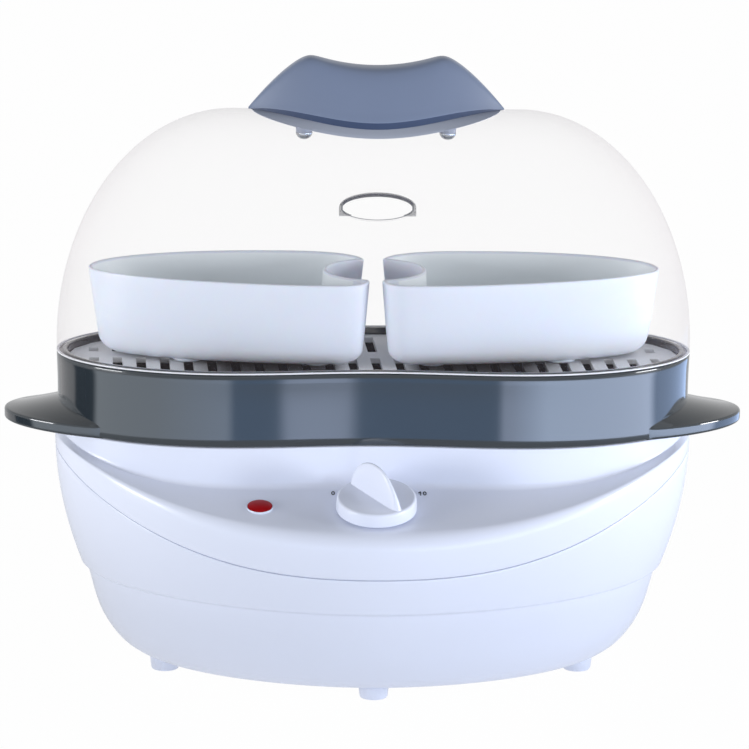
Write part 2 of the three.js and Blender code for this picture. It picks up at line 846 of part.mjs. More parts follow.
function makeRack() {
  return cut(plate(planShape(rackInset), rackTop - rackThick, rackThick), ...rackSlots());
}

addPiece('steam_rack', makeRack(), finish.rack);

// Bowls: drafted dishes that meet at a split, where each has half of a round finger notch
const bowlBottom = rackTop + seatGap + bowlFootRise;
const bowlTop = bowlBottom + bowlHeight;
const bowlEnd = reach - bowlEndGap;
const bowlCentreX = bowlEnd / 2;

function bowlRing(side, z, inset, draftShare) {
  const points = [];
  const endDraft = draftShare * bowlDraftEnd + inset;
  const splitDraft = draftShare * bowlDraftSplit + inset;
  for (let k = 0; k < bowlSteps; k += 1) {
    const angle = (2 * Math.PI * (k + 0.5)) / bowlSteps;
    const atRear = Math.sin(angle) > 0;
    const atEnd = Math.cos(angle) > 0;
    const apex = atRear ? bowlRearApex : bowlFrontApex;
    const depth = (atRear ? bowlRearDepth : bowlFrontDepth) - endDraft;
    const length = atEnd ? bowlEnd - apex - endDraft : apex - bowlSplit / 2 - splitDraft;
    const endPowers = atRear ? bowlRearEndPowers : bowlFrontEndPowers;
    const splitPowers = atRear ? bowlRearPowers : bowlFrontPowers;
    const [x, y] = powerCurve(angle, length, depth, ...(atEnd ? endPowers : splitPowers));
    points.push(new THREE.Vector3(side * (apex + x), bowlSetBack + y, z));
  }
  return points;
}

function bowlSolid(side, wall, bottom, top) {
  const edge = bowlEdge - wall;
  const corner = edge * (1 - Math.SQRT1_2);
  return skin([
    bowlRing(side, top, wall, (bowlTop - top) / bowlHeight),
    bowlRing(side, bottom + edge, wall, 1 - edge / bowlHeight),
    bowlRing(side, bottom + corner, wall + corner, 1),
    bowlRing(side, bottom, wall + edge, 1),
  ]);
}

function notchSolid(wall) {
  const topWidth = notchWidth + 2 * wall;
  const spread = (2 * bowlDraftSplit * (bowlHeight + 2 * overrun)) / bowlHeight;
  return post(topWidth + spread, bowlBottom - overrun, bowlTop + overrun, 0, 0, roundSteps, topWidth);
}

function makeBowl(side) {
  const outer = cut(bowlSolid(side, 0, bowlBottom, bowlTop), notchSolid(0));
  const room = bowlSolid(side, bowlWall, bowlBottom + bowlFloor, bowlTop + seatGap);
  const hollow = cut(room, notchSolid(bowlWall));
  const feet = bowlFootShares.map(([shareX, shareY]) => post(
    bowlFootWidth,
    rackTop + seatGap,
    bowlBottom + bowlFloor / 2,
    side * bowlCentreX * (1 + shareX),
    bowlSetBack + bowlFrontDepth * shareY,
    smallSteps * 2,
  ));
  return join(cut(outer, hollow), ...feet);
}

addPiece('bowl_left', makeBowl(-1), finish.bowl);
addPiece('bowl_right', makeBowl(1), finish.bowl);

// Clear cover: the plan shrinks along a quarter ellipse to a level crest
const domeBottom = ringTop + seatGap;
const domeSpring = domeBottom + domeFoot;
const crest = domeSpring + domeRise;

function domeRings(inset) {
  const rings = [planPoints(inset, domeBottom)];
  for (let k = 0; k <= domeSteps; k += 1) {
    const angle = (domeTopAngle * k) / domeSteps;
    rings.push(planPoints(inset, domeSpring + (domeRise - inset) * Math.sin(angle), Math.cos(angle)));
  }
  return rings;
}

function domeHeight(x, y, inset = 0) {
  const across = y / (endDepth - inset - waistDepth(x));
  return domeSpring + (domeRise - inset) * Math.sqrt(1 - across ** 2);
}

const ventMiddle = domeSpring + domeRise * ventRiseShare;
const ventCosine = Math.sqrt(1 - ventRiseShare ** 2);
const ventTilt = Math.atan2(domeRise * ventCosine, (endDepth - waistDip) * ventRiseShare);

function onVent(geometry) {
  geometry.rotateX(ventTilt);
  geometry.translate(0, -(endDepth - waistDip) * ventCosine, ventMiddle);
  return geometry;
}

function makeHood() {
  const halfLength = ventLength / 2 + hoodWall;
  const halfHeight = ventHeight / 2 + hoodWall;
  const outline = new THREE.Shape();
  outline.moveTo(-halfLength, -hoodSkirt);
  outline.lineTo(halfLength, -hoodSkirt);
  outline.lineTo(halfLength, 0);
  outline.absellipse(0, 0, halfLength, halfHeight, 0, Math.PI);
  outline.lineTo(-halfLength, -hoodSkirt);
  const hood = new THREE.ExtrudeGeometry(outline, {
    depth: hoodReach + domeWall / 2,
    curveSegments: hoodSteps,
    bevelEnabled: false,
  });
  hood.translate(0, 0, -domeWall / 2);
  return onVent(hood);
}

function ventTool() {
  const tool = post(ventLength, -overrun, overrun, 0, 0, ventSteps);
  tool.scale(1, ventHeight / ventLength, 1);
  return onVent(tool);
}

function makeDome() {
  const shellOnly = skin([...domeRings(domeWall).reverse(), ...domeRings(0)]);
  const holes = [1, -1].map((side) => post(
    handleScrewShank + 2 * seatGap,
    crest - domeWall - overrun,
    crest + overrun,
    side * handleScrewX,
    0,
    smallSteps,
  ));
  return cut(join(shellOnly, makeHood()), ventTool(), ...holes);
}

addPiece('dome_cover', makeDome(), finish.clear);

// Handle on the cover: a lens in plan, two peaks with a saddle between, its base fitted to the cover
function handleTop(x) {
  const out = Math.abs(x);
  if (out < handlePeak) {
    const saddle = 0.5 - 0.5 * Math.cos((Math.PI * out) / handlePeak);
    return crest + handleMiddleRise + (handlePeakRise - handleMiddleRise) * saddle;
  }
  const share = Math.max(0, (handleReach - out) / (handleReach - handlePeak));
  return crest + handleTipRise + (handlePeakRise - handleTipRise) * (1 - (1 - share) ** handleShoulderPower);
}

function handleSection(x) {
  const half = handleTipDepth + (handleDepth - handleTipDepth) * (1 - (x / handleReach) ** 2);
  const low = domeHeight(x, half) - overrun;
  const band = domeHeight(x, half) + handleBand;
  const tall = handleTop(x) - band;
  const side = [
    [half, low],
    [half, band],
    ...handleShares.map(([out, up]) => [half * out, band + tall * up]),
  ];
  const other = side.map(([y, z]) => [-y, z]).reverse();
  return [...side, ...other].map(([y, z]) => new THREE.Vector3(x, y, z));
}

function handleSeat() {
  const grown = domeRings(-seatGap).filter((ring) => ring[0].z > domeSpring);
  return skin(grown);
}

function makeHandle() {
  const sections = [];
  for (let k = 0; k <= handleSteps; k += 1) {
    sections.push(handleSection(handleReach * ((2 * k) / handleSteps - 1)));
  }
  const bores = [1, -1].map((side) => post(
    handleScrewShank + 2 * seatGap,
    crest - overrun,
    crest + handleScrewBite + 2 * seatGap,
    side * handleScrewX,
    0,
    smallSteps,
  ));
  return cut(skin(sections), handleSeat(), ...bores);
}

addPiece('cover_handle', makeHandle(), finish.handle);

const washerTop = domeHeight(handleScrewX, washerWidth / 2, domeWall) - 2 * seatGap;
[1, -1].forEach((side) => {
  const name = side > 0 ? 'right' : 'left';
  const x = side * handleScrewX;
  const washer = post(washerWidth, washerTop - washerThick, washerTop, x, 0);
  const holeWidth = handleScrewShank + 2 * seatGap;
  const hole = post(holeWidth, washerTop - overrun, washerTop + overrun, x, 0, smallSteps);
  const headTop = washerTop - washerThick - seatGap;
  const head = turned([
    [0, headTop - handleScrewHeadThick],
    ...headShares.map(([out, down]) => [handleScrewHead * out, headTop - handleScrewHeadThick * down]),
    [handleScrewHead / 2, headTop],
    [0, headTop],
  ]);
  head.translate(x, 0, 0);
  const shank = post(handleScrewShank, headTop - seatGap, crest + handleScrewBite, x, 0, smallSteps);
  addPiece(`handle_washer_${name}`, cut(washer, hole), finish.steel);
  addPiece(`handle_screw_${name}`, join(head, shank), finish.steel);
});

export default boiler;
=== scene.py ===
import math

import bmesh
import bpy
import numpy as np
from mathutils import Matrix, Vector


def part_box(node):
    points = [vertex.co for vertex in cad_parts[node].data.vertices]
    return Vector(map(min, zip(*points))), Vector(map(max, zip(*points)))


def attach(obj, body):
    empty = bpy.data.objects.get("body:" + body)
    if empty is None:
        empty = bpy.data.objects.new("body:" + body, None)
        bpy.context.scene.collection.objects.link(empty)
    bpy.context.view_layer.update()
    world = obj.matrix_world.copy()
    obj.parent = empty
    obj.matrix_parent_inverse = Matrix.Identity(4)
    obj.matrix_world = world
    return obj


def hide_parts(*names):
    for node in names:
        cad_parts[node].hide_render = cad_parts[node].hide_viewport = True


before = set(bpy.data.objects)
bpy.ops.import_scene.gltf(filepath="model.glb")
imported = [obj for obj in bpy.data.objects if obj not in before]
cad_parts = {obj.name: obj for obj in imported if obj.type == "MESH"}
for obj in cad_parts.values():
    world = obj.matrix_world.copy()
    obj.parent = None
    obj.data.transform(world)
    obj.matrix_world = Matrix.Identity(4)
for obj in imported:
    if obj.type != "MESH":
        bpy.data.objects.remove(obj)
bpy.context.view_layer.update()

# Studio. The camera stands two metres off, a little above the boiler and a little to its left, with a long
# lens. The floor and the world look white to the camera, and two soft panels and one from above give the light.
# A low curved card in front, under the camera's view, carries bright and dark strips that the glossy ring mirrors.
camera_side = math.radians(-1.7)
camera_rise = math.radians(14.0)
camera_roll = math.radians(0.6)
camera_away = 2.0
camera_target = (0.0005, 0.0, 0.14855)
focal_pixels = 4045.0
frame_pixels = 749.0
sensor_width = 36.0

camera_data = bpy.data.cameras.new("camera")
camera_data.sensor_width = sensor_width
camera_data.sensor_fit = "HORIZONTAL"
camera_data.lens = sensor_width * focal_pixels / frame_pixels
camera = bpy.data.objects.new("camera", camera_data)
camera_turn = (
    Matrix.Rotation(camera_side, 4, "Z") @ Matrix.Rotation(math.pi / 2 - camera_rise, 4, "X")
    @ Matrix.Rotation(camera_roll, 4, "Z")
)
camera.matrix_world = Matrix.Translation(camera_target) @ camera_turn @ Matrix.Translation((0, 0, camera_away))
bpy.context.collection.objects.link(camera)
bpy.context.scene.camera = camera
bpy.context.scene.view_settings.view_transform = "Standard"

lamp_target = Vector((0, 0, 0.1))
cool_white, sky_white = (0.96, 0.97, 1.0), (0.84, 0.92, 1.0)


def soft_panel(name, place, width, height, watts, colour):
    """A rectangular lamp at a place, facing the boiler, in metres."""
    lamp = bpy.data.lights.new(name, "AREA")
    lamp.shape = "RECTANGLE"
    lamp.size, lamp.size_y = width, height
    lamp.energy = watts
    lamp.color = colour
    stand = bpy.data.objects.new(name, lamp)
    facing = lamp_target - Vector(place)
    stand.matrix_world = Matrix.Translation(place) @ facing.to_track_quat("-Z", "Y").to_matrix().to_4x4()
    bpy.context.collection.objects.link(stand)


soft_panel("left_panel", (-1.75, -0.85, 0.28), 0.7, 0.5, 17.0, cool_white)
soft_panel("right_panel", (1.85, -0.65, 0.28), 0.6, 0.5, 22.0, cool_white)
soft_panel("top_panel", (0.3, -0.3, 1.9), 1.8, 1.4, 2.6, sky_white)


def fill(made, values):
    """Sets a node's sockets: s0 is socket 0, and other names have underscores for spaces. A value that is a node,
    or a pair of a node and its output, is linked."""
    for name, value in values.items():
        socket = made.inputs[int(name[1:]) if name[1:].isdigit() else name.replace("_", " ")]
        source, output = value if isinstance(value, tuple) and len(value) == 2 else (value, 0)
        if isinstance(source, bpy.types.Node):
            made.id_data.links.new(source.outputs[output], socket)
        else:
            socket.default_value = value


def node(tree, kind, operation=None, **values):
    """A new shader node with its operation and its sockets' values. A mix is one of colours."""
    made = tree.nodes.new("ShaderNode" + kind)
    if kind == "Mix":
        made.data_type = "RGBA"
    if operation:
        made.operation = operation
    fill(made, values)
    return made


def empty_tree(owner):
    """The emptied node tree of a world or a material."""
    owner.use_nodes = True
    owner.node_tree.nodes.clear()
    return owner.node_tree


def straight_rays(tree):
    """The light path node, and a node that is one for rays that reach the camera directly or through the cover."""
    seen = node(tree, "LightPath")
    return seen, node(tree, "Math", "MAXIMUM", s0=(seen, "Is Camera Ray"), s1=(seen, "Is Transmission Ray"))


def sheet(name, points, faces, material):
    """A sheet of the studio, in metres."""
    mesh = bpy.data.meshes.new(name)
    mesh.from_pydata(points, [], faces)
    mesh.materials.append(material)
    stand = bpy.data.objects.new(name, mesh)
    bpy.context.collection.objects.link(stand)


# The world's light is stronger at the sides than in front, and fades towards the zenith.
world = bpy.data.worlds.new("studio")
bpy.context.scene.world = world
mirror_white, front_level, side_level, zenith_level = 0.6, 0.625, 0.46, -0.74
tree = empty_tree(world)
seen, straight = straight_rays(tree)
mirrored = node(tree, "Math", "MULTIPLY_ADD", s0=(seen, "Is Glossy Ray"), s1=mirror_white, s2=straight)
heading = node(tree, "SeparateXYZ", s0=(node(tree, "TexCoord"), "Generated"))
sideways = node(tree, "Math", "ABSOLUTE", s0=(heading, "X"))
above = node(tree, "Math", "MAXIMUM", s0=(heading, "Z"), s1=0.0)
level = node(tree, "Math", "MULTIPLY_ADD", s0=sideways, s1=side_level, s2=front_level)
dimmer = node(tree, "Math", "MULTIPLY_ADD", s0=above, s1=zenith_level, s2=level)
mirrored.use_clamp = dimmer.use_clamp = True
ambient = node(tree, "Background", Color=(0.94, 0.96, 1.0, 1), Strength=dimmer)
white = node(tree, "Background", Color=(1, 1, 1, 1), Strength=1.0)
node(tree, "OutputWorld", s0=node(tree, "MixShader", s0=mirrored, s1=ambient, s2=white))

floor_half, floor_glow, floor_bounce = 6.0, 0.985, 0.42
paper = bpy.data.materials.new("floor_paper")
tree = empty_tree(paper)
amount = node(
    tree, "Math", "MULTIPLY_ADD", s0=straight_rays(tree)[1], s1=floor_glow - floor_bounce, s2=floor_bounce,
)
lit = node(tree, "BsdfDiffuse", Color=(0.92, 0.93, 0.94, 1))
glow = node(tree, "Emission", Color=(1, 1, 1, 1))
node(tree, "OutputMaterial", s0=node(tree, "MixShader", s0=amount, s1=lit, s2=glow))
floor_corners = [(x * floor_half, y * floor_half, 0) for x, y in ((-1, -1), (1, -1), (1, 1), (-1, 1))]
sheet("floor", floor_corners, [(0, 1, 2, 3)], paper)

card_radius, card_low, card_high, card_end, card_cells = 0.53, 0.002, 0.095, 130, 130
card_turn = np.radians(np.linspace(-card_end, card_end, card_cells + 1))
card_points = [
    (card_radius * math.sin(turn), -card_radius * math.cos(turn), height)
    for height in (card_low, card_high) for turn in card_turn
]
card_edge = math.radians(card_end)
strip_peak, strip_dim = 7.0, 3.0
strips_at = [
    (-99, (0.85, 0.83, 0.83)), (-95, (0.05, 0.05, 0.06)), (-78, (0.05, 0.05, 0.06)), (-74, (1.75, 1.9, 2.05)),
    (-40, (1.75, 1.95, 2.2)), (-10, (2.0, 2.4, 3.1)), (-7, (0.65, 0.95, 1.5)), (4.5, (0.65, 0.95, 1.5)),
    (6, (2.6, 3.1, 4.2)), (8, (2.6, 3.1, 4.2)), (14, (3.2, 3.9, 5.3)), (22, (4.1, 5.0, 6.7)),
    (74, (4.4, 5.2, 6.9)), (80, (1.4, 1.85, 2.8)), (95, (1.4, 1.85, 2.8)),
]
strip_stops = [(angle, (*(level / strip_peak for level in levels), 1)) for angle, levels in strips_at]
strips = bpy.data.materials.new("reflection_strips")
tree = empty_tree(strips)
parts = node(tree, "SeparateXYZ", s0=(node(tree, "TexCoord"), "Object"))
front = node(tree, "Math", "MULTIPLY", s0=(parts, "Y"), s1=-1.0)
bearing = node(tree, "Math", "ARCTAN2", s0=(parts, "X"), s1=front)
share = node(tree, "MapRange", Value=bearing, From_Min=-card_edge, From_Max=card_edge)
ramp = node(tree, "ValToRGB", Fac=share)
stops = ramp.color_ramp.elements
stops[0].color, stops[-1].color = strip_stops[0][1], strip_stops[-1][1]
for angle, colour in strip_stops:
    stops.new((angle + card_end) / (2 * card_end)).color = colour
seen = node(tree, "LightPath")
strength = node(tree, "Math", "MULTIPLY_ADD", s0=(seen, "Is Glossy Ray"), s1=strip_peak - strip_dim, s2=strip_dim)
strip_light = node(tree, "Emission", Color=ramp, Strength=strength)
unseen = node(tree, "BsdfTransparent")
choice = node(tree, "MixShader", s0=(seen, "Is Camera Ray"), s1=strip_light, s2=unseen)
node(tree, "OutputMaterial", s0=choice)
card_faces = [(k, k + 1, k + card_cells + 2, k + card_cells + 1) for k in range(card_cells)]
sheet("reflection_card", card_points, card_faces, strips)

# Lower tub: the white moulded tub that carries everything. Its wall swells to an oval, has a soft step round it
# and tucks in below the step to a flat floor. Its rim ends under the smile-shaped seam.
reach, end_centre, end_depth, waist_dip = 156.2, 70.0, 53.7, 4.7
end_steps, flank_steps = 56, 44
neck_inset, neck_top, neck_fillet = 0.7, 124.7, 3.0
oval_power, swell_power, end_swell = 1.85, 2.1, 0.012
step_top, step_bottom, tub_floor, shell_wall = 55.0, 51.8, 8.0, 2.6
wall_half_width, wall_half_depth, wall_bulge = 145.0, 97.0, 2.5
seam_middle, seam_rise, seam_power, seam_gap = 71.5, 42.5, 2.88, 0.3
shell_depth_share = 0.9925
tub_rows = np.array([
    [0.0, 0.775, 0.69], [0.03, 0.81, 0.73], [0.16, 0.865, 0.805],
    [0.38, 0.915, 0.885], [0.62, 0.947, 0.93], [1.0, 0.977, 0.968],
])


def waist(x):
    """How far a flank dips inwards at x: half a cosine wave, deepest in the middle and nothing at the ends."""
    return waist_dip * (0.5 + 0.5 * np.cos(np.pi * x / end_centre))


def plan(inset):
    """Outline that ring, cover, rack and basin share, as (columns, 2). Each end is half an ellipse about the end
    centre, and the flanks between them dip inwards. The inset lies inside it."""
    turn = np.pi * (np.arange(end_steps) / end_steps - 0.5)
    flank = end_centre * (1 - 2 * np.arange(flank_steps) / flank_steps)
    half, length = end_depth - inset, reach - end_centre - inset
    end = np.stack([end_centre + length * np.cos(turn), half * np.sin(turn)], 1)
    side = np.concatenate([end, np.stack([flank, half - waist(flank)], 1)])
    return np.concatenate([side, -side])


def oval(neck, z, inset=0.0, width_share=1.0, depth_share=1.0):
    """Point of the housing's wall: the neck's x, as a share of its reach, gives the depth by a superellipse.
    Both half sizes grow with height by a power curve above the step. Returns (columns, 3)."""
    neck_reach = reach - neck_inset
    across = np.clip(np.abs(neck[:, 0]) / neck_reach, 0, 1)
    back = (1 - across ** oval_power) ** (1 / oval_power)
    climb = np.clip((z - step_top) / (neck_top - neck_fillet - step_top), 0, 1)
    swell = 1 - (1 - climb) ** swell_power
    half_width = wall_half_width + (neck_reach - wall_half_width) * swell
    half_width = half_width * width_share * (1 + end_swell * swell) - inset
    half_depth = (wall_half_depth + wall_bulge * swell) * depth_share - inset
    x = np.sign(neck[:, 0]) * across * half_width
    y = np.sign(neck[:, 1]) * back * half_depth
    return np.stack([x, y, np.broadcast_to(z, x.shape)], 1)


def seam_height(x):
    """Height of the seam: lowest in the middle and rising to both ends by a power curve."""
    return seam_middle + seam_rise * (np.abs(x) / reach) ** seam_power


def through(points, count):
    """Smooth curve through points: between two points it is the cubic whose slope at each is half the step
    between that point's neighbours. Returns (count, dimensions)."""
    points = np.asarray(points, float)
    last = len(points) - 1
    place = np.linspace(0, last, count)
    cell = np.minimum(place.astype(int), last - 1)
    t = (place - cell)[:, None]
    a, b, c, d = (points[np.clip(cell + k, 0, last)] for k in (-1, 0, 1, 2))
    return b + t * (c - a) / 2 + t**2 * (a - 2.5 * b + 2 * c - d / 2) + t**3 * (1.5 * b - a / 2 - 1.5 * c + d / 2)


def add_piece(name, body, slot_name, material, patches, *nodes, sharp=40.0):
    """One closed mesh from patches. A patch is a (rows, columns, 3) array in millimetres, and says whether its
    last row meets its first and its last column meets its first. Points that coincide are merged. The piece gets
    its material, rides on a body and stands for CAD nodes. The slot name is not used."""
    places, faces, start = [], [], 0
    for points, rows_meet, columns_meet in patches:
        rows, columns = points.shape[:2]
        index = start + np.arange(rows * columns).reshape(rows, columns)
        index = np.vstack([index, index[:1]]) if rows_meet else index
        index = np.hstack([index, index[:, :1]]) if columns_meet else index
        corners = [index[:-1, :-1], index[:-1, 1:], index[1:, 1:], index[1:, :-1]]
        faces.append(np.stack(corners, -1).reshape(-1, 4))
        places.append(points.reshape(-1, 3))
        start += rows * columns
    mesh = bpy.data.meshes.new(name)
    mesh.from_pydata((np.concatenate(places) / 1000).tolist(), [], np.concatenate(faces).tolist())
    work = bmesh.new()
    work.from_mesh(mesh)
    bmesh.ops.remove_doubles(work, verts=work.verts, dist=1e-6)
    bmesh.ops.dissolve_degenerate(work, edges=work.edges, dist=1e-7)
    bmesh.ops.recalc_face_normals(work, faces=work.faces)
    work.to_mesh(mesh)
    work.free()
    mesh.shade_smooth()
    mesh.set_sharp_from_angle(angle=math.radians(sharp))
    mesh.materials.append(material)
    piece = bpy.data.objects.new(name, mesh)
    bpy.context.collection.objects.link(piece)
    if nodes:
        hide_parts(*nodes)
    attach(piece, body)
    return piece


def pole(x, y, z, columns):
    """A row of equal points, which closes a surface at its middle."""
    return np.broadcast_to(np.array([x, y, z], float), (columns, 3))


def moulded(name, colour, rough, spread=0.02, grain=900.0, depth=0.00002, cloud=14.0, **values):
    """Moulded plastic: a slow cloud of noise shifts the colour and the roughness a little, and a fine grain
    of noise gives the bump. The other values go to the shader's sockets."""
    material = bpy.data.materials.new(name)
    material.use_nodes = True
    tree = material.node_tree
    dark, light = ((*(min(1.0, c * (1 + part)) for c in colour), 1) for part in (-spread, spread))
    place = (node(tree, "TexCoord"), "Object")
    slow = node(tree, "TexNoise", Vector=place, Scale=cloud, Detail=3.0)
    fine = node(tree, "TexNoise", Vector=place, Scale=grain, Detail=2.0)
    shade = node(tree, "Mix", s0=slow, s6=dark, s7=light)
    gloss = node(tree, "MapRange", Value=slow, To_Min=rough * 0.9, To_Max=rough * 1.1)
    bump = node(tree, "Bump", Height=fine, Strength=0.5, Distance=depth)
    fill(tree.nodes["Principled BSDF"], {"Base Color": (shade, 2), "Roughness": gloss, "Normal": bump, **values})
    return material


white_plastic = moulded(
    "white_shell_plastic", (0.80, 0.835, 0.95), 0.26, spread=0.012, Specular_IOR_Level=0.4, Coat_Weight=0.06,
    Coat_Roughness=0.12,
)

neck = plan(neck_inset)
columns = len(neck)
low = through(tub_rows, 34)
step_turn = np.linspace(0, 1, 9)[1:-1]
step_ease = 0.5 - 0.5 * np.cos(np.pi * step_turn)
rim = seam_height(neck[:, 0]) - seam_gap / 2


def tub_wall(inset, lowest):
    """Rows of the tub's wall from its floor to its rim: the drafted part below the step, the step as half a
    cosine wave, and the swelling wall up to the seam."""
    rows = [oval(neck, max(lowest, tub_floor + (step_bottom - tub_floor) * h), inset, w, d) for h, w, d in low]
    for part, ease in zip(step_turn, step_ease):
        z = step_bottom + (step_top - step_bottom) * part
        rows.append(oval(neck, z, inset, *(tub_rows[-1, 1:] + (1 - tub_rows[-1, 1:]) * ease)))
    return rows + [oval(neck, step_top + (rim - 0.5 - step_top) * part, inset) for part in np.linspace(0, 1, 15)]


rim_cut = ((0.15, 0.15), (0, 0.5), (0, shell_wall - 0.3), (0.3, shell_wall))
rim_rows = [oval(neck, rim - drop, inset) for drop, inset in rim_cut]
tub = np.array([
    pole(0, 0, tub_floor, columns), *tub_wall(0.0, tub_floor), *rim_rows,
    *tub_wall(shell_wall, tub_floor + shell_wall)[::-1], pole(0, 0, tub_floor + shell_wall, columns),
])
tub[..., 1] *= shell_depth_share
add_piece("lower_tub_shell", "base", "white_shell", white_plastic, [(tub, False, True)], "lower_tub")

# Upper housing: the white cover half. A neck carries the steam ring, a ledge slopes forward from the neck for
# the controls, and a rounded brow drops from the ledge to the seam. Inside, a deck holds the basin.
brow, brow_power, brow_drop_share, ledge_centre, ledge_power = 21.0, 5.0, 0.72, 104.498, 4.7
fillet_share, brow_share, brow_fall = 0.07, 0.84, 0.34
deck_top, deck_thick, basin_inset = 117.7, 2.4, 24.0


def ledge_point(points, share):
    """Point on the sloping ledge, a share of the way from the neck's foot to the brow over the seam."""
    x = points[:, 0]
    foot_z = ledge_centre + (neck_top - seam_gap - ledge_centre) * (np.abs(x) / reach) ** ledge_power
    brow_z = seam_height(x) + brow * (1 - brow_drop_share * (np.abs(x) / reach) ** brow_power)
    inner = np.stack([x, points[:, 1], foot_z], 1)
    return inner + (oval(points, brow_z) - inner) * share


def bend(a, b, c, share):
    """Point on the quadratic curve from a to c that aims at b."""
    return a * (1 - share) ** 2 + 2 * b * share * (1 - share) + c * share**2


def drawn_in(points, depth, drop=0.0):
    """The row moved towards the upright axis by a depth and down by a drop."""
    away = np.linalg.norm(points[:, :2], axis=1, keepdims=True)
    return np.hstack([points[:, :2] * (1 - depth / away), points[:, 2:] - drop])


def swept(profile):
    """A profile of (inset, height) pairs carried round the shared outline, as (rows, columns, 3)."""
    return np.array([np.hstack([plan(inset), np.full((columns, 1), z)]) for inset, z in profile])


foot, brow_edge = ledge_point(neck, 0.0), ledge_point(neck, 1.0)
neck_low = foot.copy()
neck_low[:, 2] = np.minimum(foot[:, 2] + neck_fillet, neck_top - 0.5)
fillet_end, brow_start = ledge_point(neck, fillet_share), ledge_point(neck, brow_share)
brow_height = brow_edge[:, 2] - seam_height(neck[:, 0])
brow_end = oval(neck, brow_edge[:, 2] - brow_fall * brow_height)
seam_z = seam_height(neck[:, 0]) + seam_gap / 2
deck_edge, deck_low, inner_neck = basin_inset - seam_gap, deck_top - deck_thick, neck_inset + shell_wall
outer_rows = [
    *swept([(neck_inset + 0.4, neck_top), (neck_inset, neck_top - 0.4)]),
    *(bend(neck_low, foot, fillet_end, share) for share in np.linspace(0, 1, 8)),
    *(ledge_point(neck, share) for share in np.linspace(fillet_share, brow_share, 12)[1:-1]),
    *(bend(brow_start, brow_edge, brow_end, share) for share in np.linspace(0, 1, 14)),
    *(oval(neck, brow_end[:, 2] + (seam_z + 0.5 - brow_end[:, 2]) * share) for share in (0.33, 0.66, 1.0)),
    oval(neck, seam_z + 0.15, 0.15), oval(neck, seam_z, 0.5),
]
inner_rows = [
    oval(neck, seam_z, shell_wall), drawn_in(brow_end, shell_wall),
    *(drawn_in(ledge_point(neck, share), shell_wall, shell_wall) for share in (0.9, 0.5, 0.1)),
    *swept([
        (neck_inset + 1.5 * shell_wall, deck_low), (deck_edge, deck_low), (deck_edge, deck_top),
        (inner_neck, deck_top), (inner_neck, neck_top - 0.3), (inner_neck - 0.3, neck_top),
    ]),
]
housing = np.array(outer_rows + inner_rows)
housing[..., 1] *= shell_depth_share
add_piece("upper_housing_shell", "base", "white_shell", white_plastic, [(housing, True, True)], "upper_housing")

# Feet: four short white posts under the tub, two at its ends and one each at front and back. Each is a plain
# moulded stud with a rounded sole.
foot_top, foot_radius, sole_radius, side_foot, side_foot_y, end_foot = 7.7, 7.7, 6.9, 103.0, -11.0, 56.0


def turned(profile, steps=64):
    """A profile of (radius, height) pairs turned about the upright axis, as (rows, steps, 3)."""
    profile = np.asarray(profile, float)
    angle = 2 * np.pi * np.arange(steps) / steps
    circle = np.stack([np.cos(angle), np.sin(angle)], 1)
    flat = profile[:, None, :1] * circle[None]
    return np.concatenate([flat, np.broadcast_to(profile[:, None, 1:], flat.shape[:2] + (1,))], 2)


stud = turned([
    (0, 0), (sole_radius - 1.0, 0), (sole_radius - 0.3, 0.25), (sole_radius, 0.9),
    (foot_radius, foot_top - 0.05), (foot_radius, foot_top), (0, foot_top),
])
foot_places = {
    "foot_left": (-side_foot, side_foot_y, 0), "foot_right": (side_foot, side_foot_y, 0),
    "foot_front": (0, -end_foot, 0), "foot_rear": (0, end_foot, 0),
}
for name, place in foot_places.items():
    add_piece(name + "_stud", "base", "white_shell", white_plastic, [(stud + np.array(place), False, True)], name)

# Cord gland: a black rubber grommet in the tub's rear wall, with a flange outside. Its bore is closed by a thin
# sunk membrane.
gland_low = tub_floor + (step_bottom - tub_floor) * tub_rows[-2, 0]
gland_place = oval(np.array([[0.0, 1.0]]), gland_low, 0.0, *tub_rows[-2, 1:])[0]
rubber = moulded("black_rubber", (0.022, 0.022, 0.025), 0.62, spread=0.15, grain=1400.0, depth=0.00004)
gland = turned([
    (0, 2.0), (3.4, 2.0), (3.7, 2.3), (3.7, 3.3), (4.2, 3.8), (7.9, 3.8), (8.4, 3.4), (8.5, 2.9), (8.5, 1.8),
    (5.8, 1.8), (5.8, -1.0), (0, -1.0),
])
gland = np.stack([gland[..., 0], gland[..., 2], -gland[..., 1]], 2) + gland_place
add_piece("cord_gland_grommet", "base", "dark_rubber", rubber, [(gland, False, True)], "cord_gland")

# Basin: a drawn aluminium dish with a dark coating, which holds and boils the water. Its flange lies on a
# rubber seal on the deck, and its wall tapers down to a flat floor with a rounded edge.
basin_top, basin_floor, basin_wall, basin_flange, basin_taper = 120.9, 99.9, 1.4, 7.0, 5.0
flange_edge, flange_low = basin_inset - basin_flange, basin_top - basin_wall
metal = moulded("dark_basin_coating", (0.03, 0.03, 0.033), 0.45, spread=0.1, grain=1800.0, cloud=30.0)
dish = swept([
    (basin_inset + basin_taper + 3.0, basin_floor), (basin_inset + basin_taper + 1.4, basin_floor + 0.7),
    (basin_inset + basin_taper / 2 + 1.6, basin_floor + 2.5), (basin_inset + 2.3, basin_top - 1.6),
    (basin_inset + 1.7, basin_top - 0.4), (basin_inset + 0.8, basin_top), (flange_edge + 0.3, basin_top),
    (flange_edge, basin_top - 0.3), (flange_edge, flange_low), (basin_inset, flange_low),
    (basin_inset + basin_taper / 2, basin_floor + 1.1), (basin_inset + basin_taper, basin_floor - basin_wall),
])
middle_line = np.stack([np.clip(neck[:, 0], -60, 60), np.zeros(columns), np.full(columns, basin_floor)], 1)
dish = np.array([middle_line, *dish, middle_line - np.array([0, 0, basin_wall])])
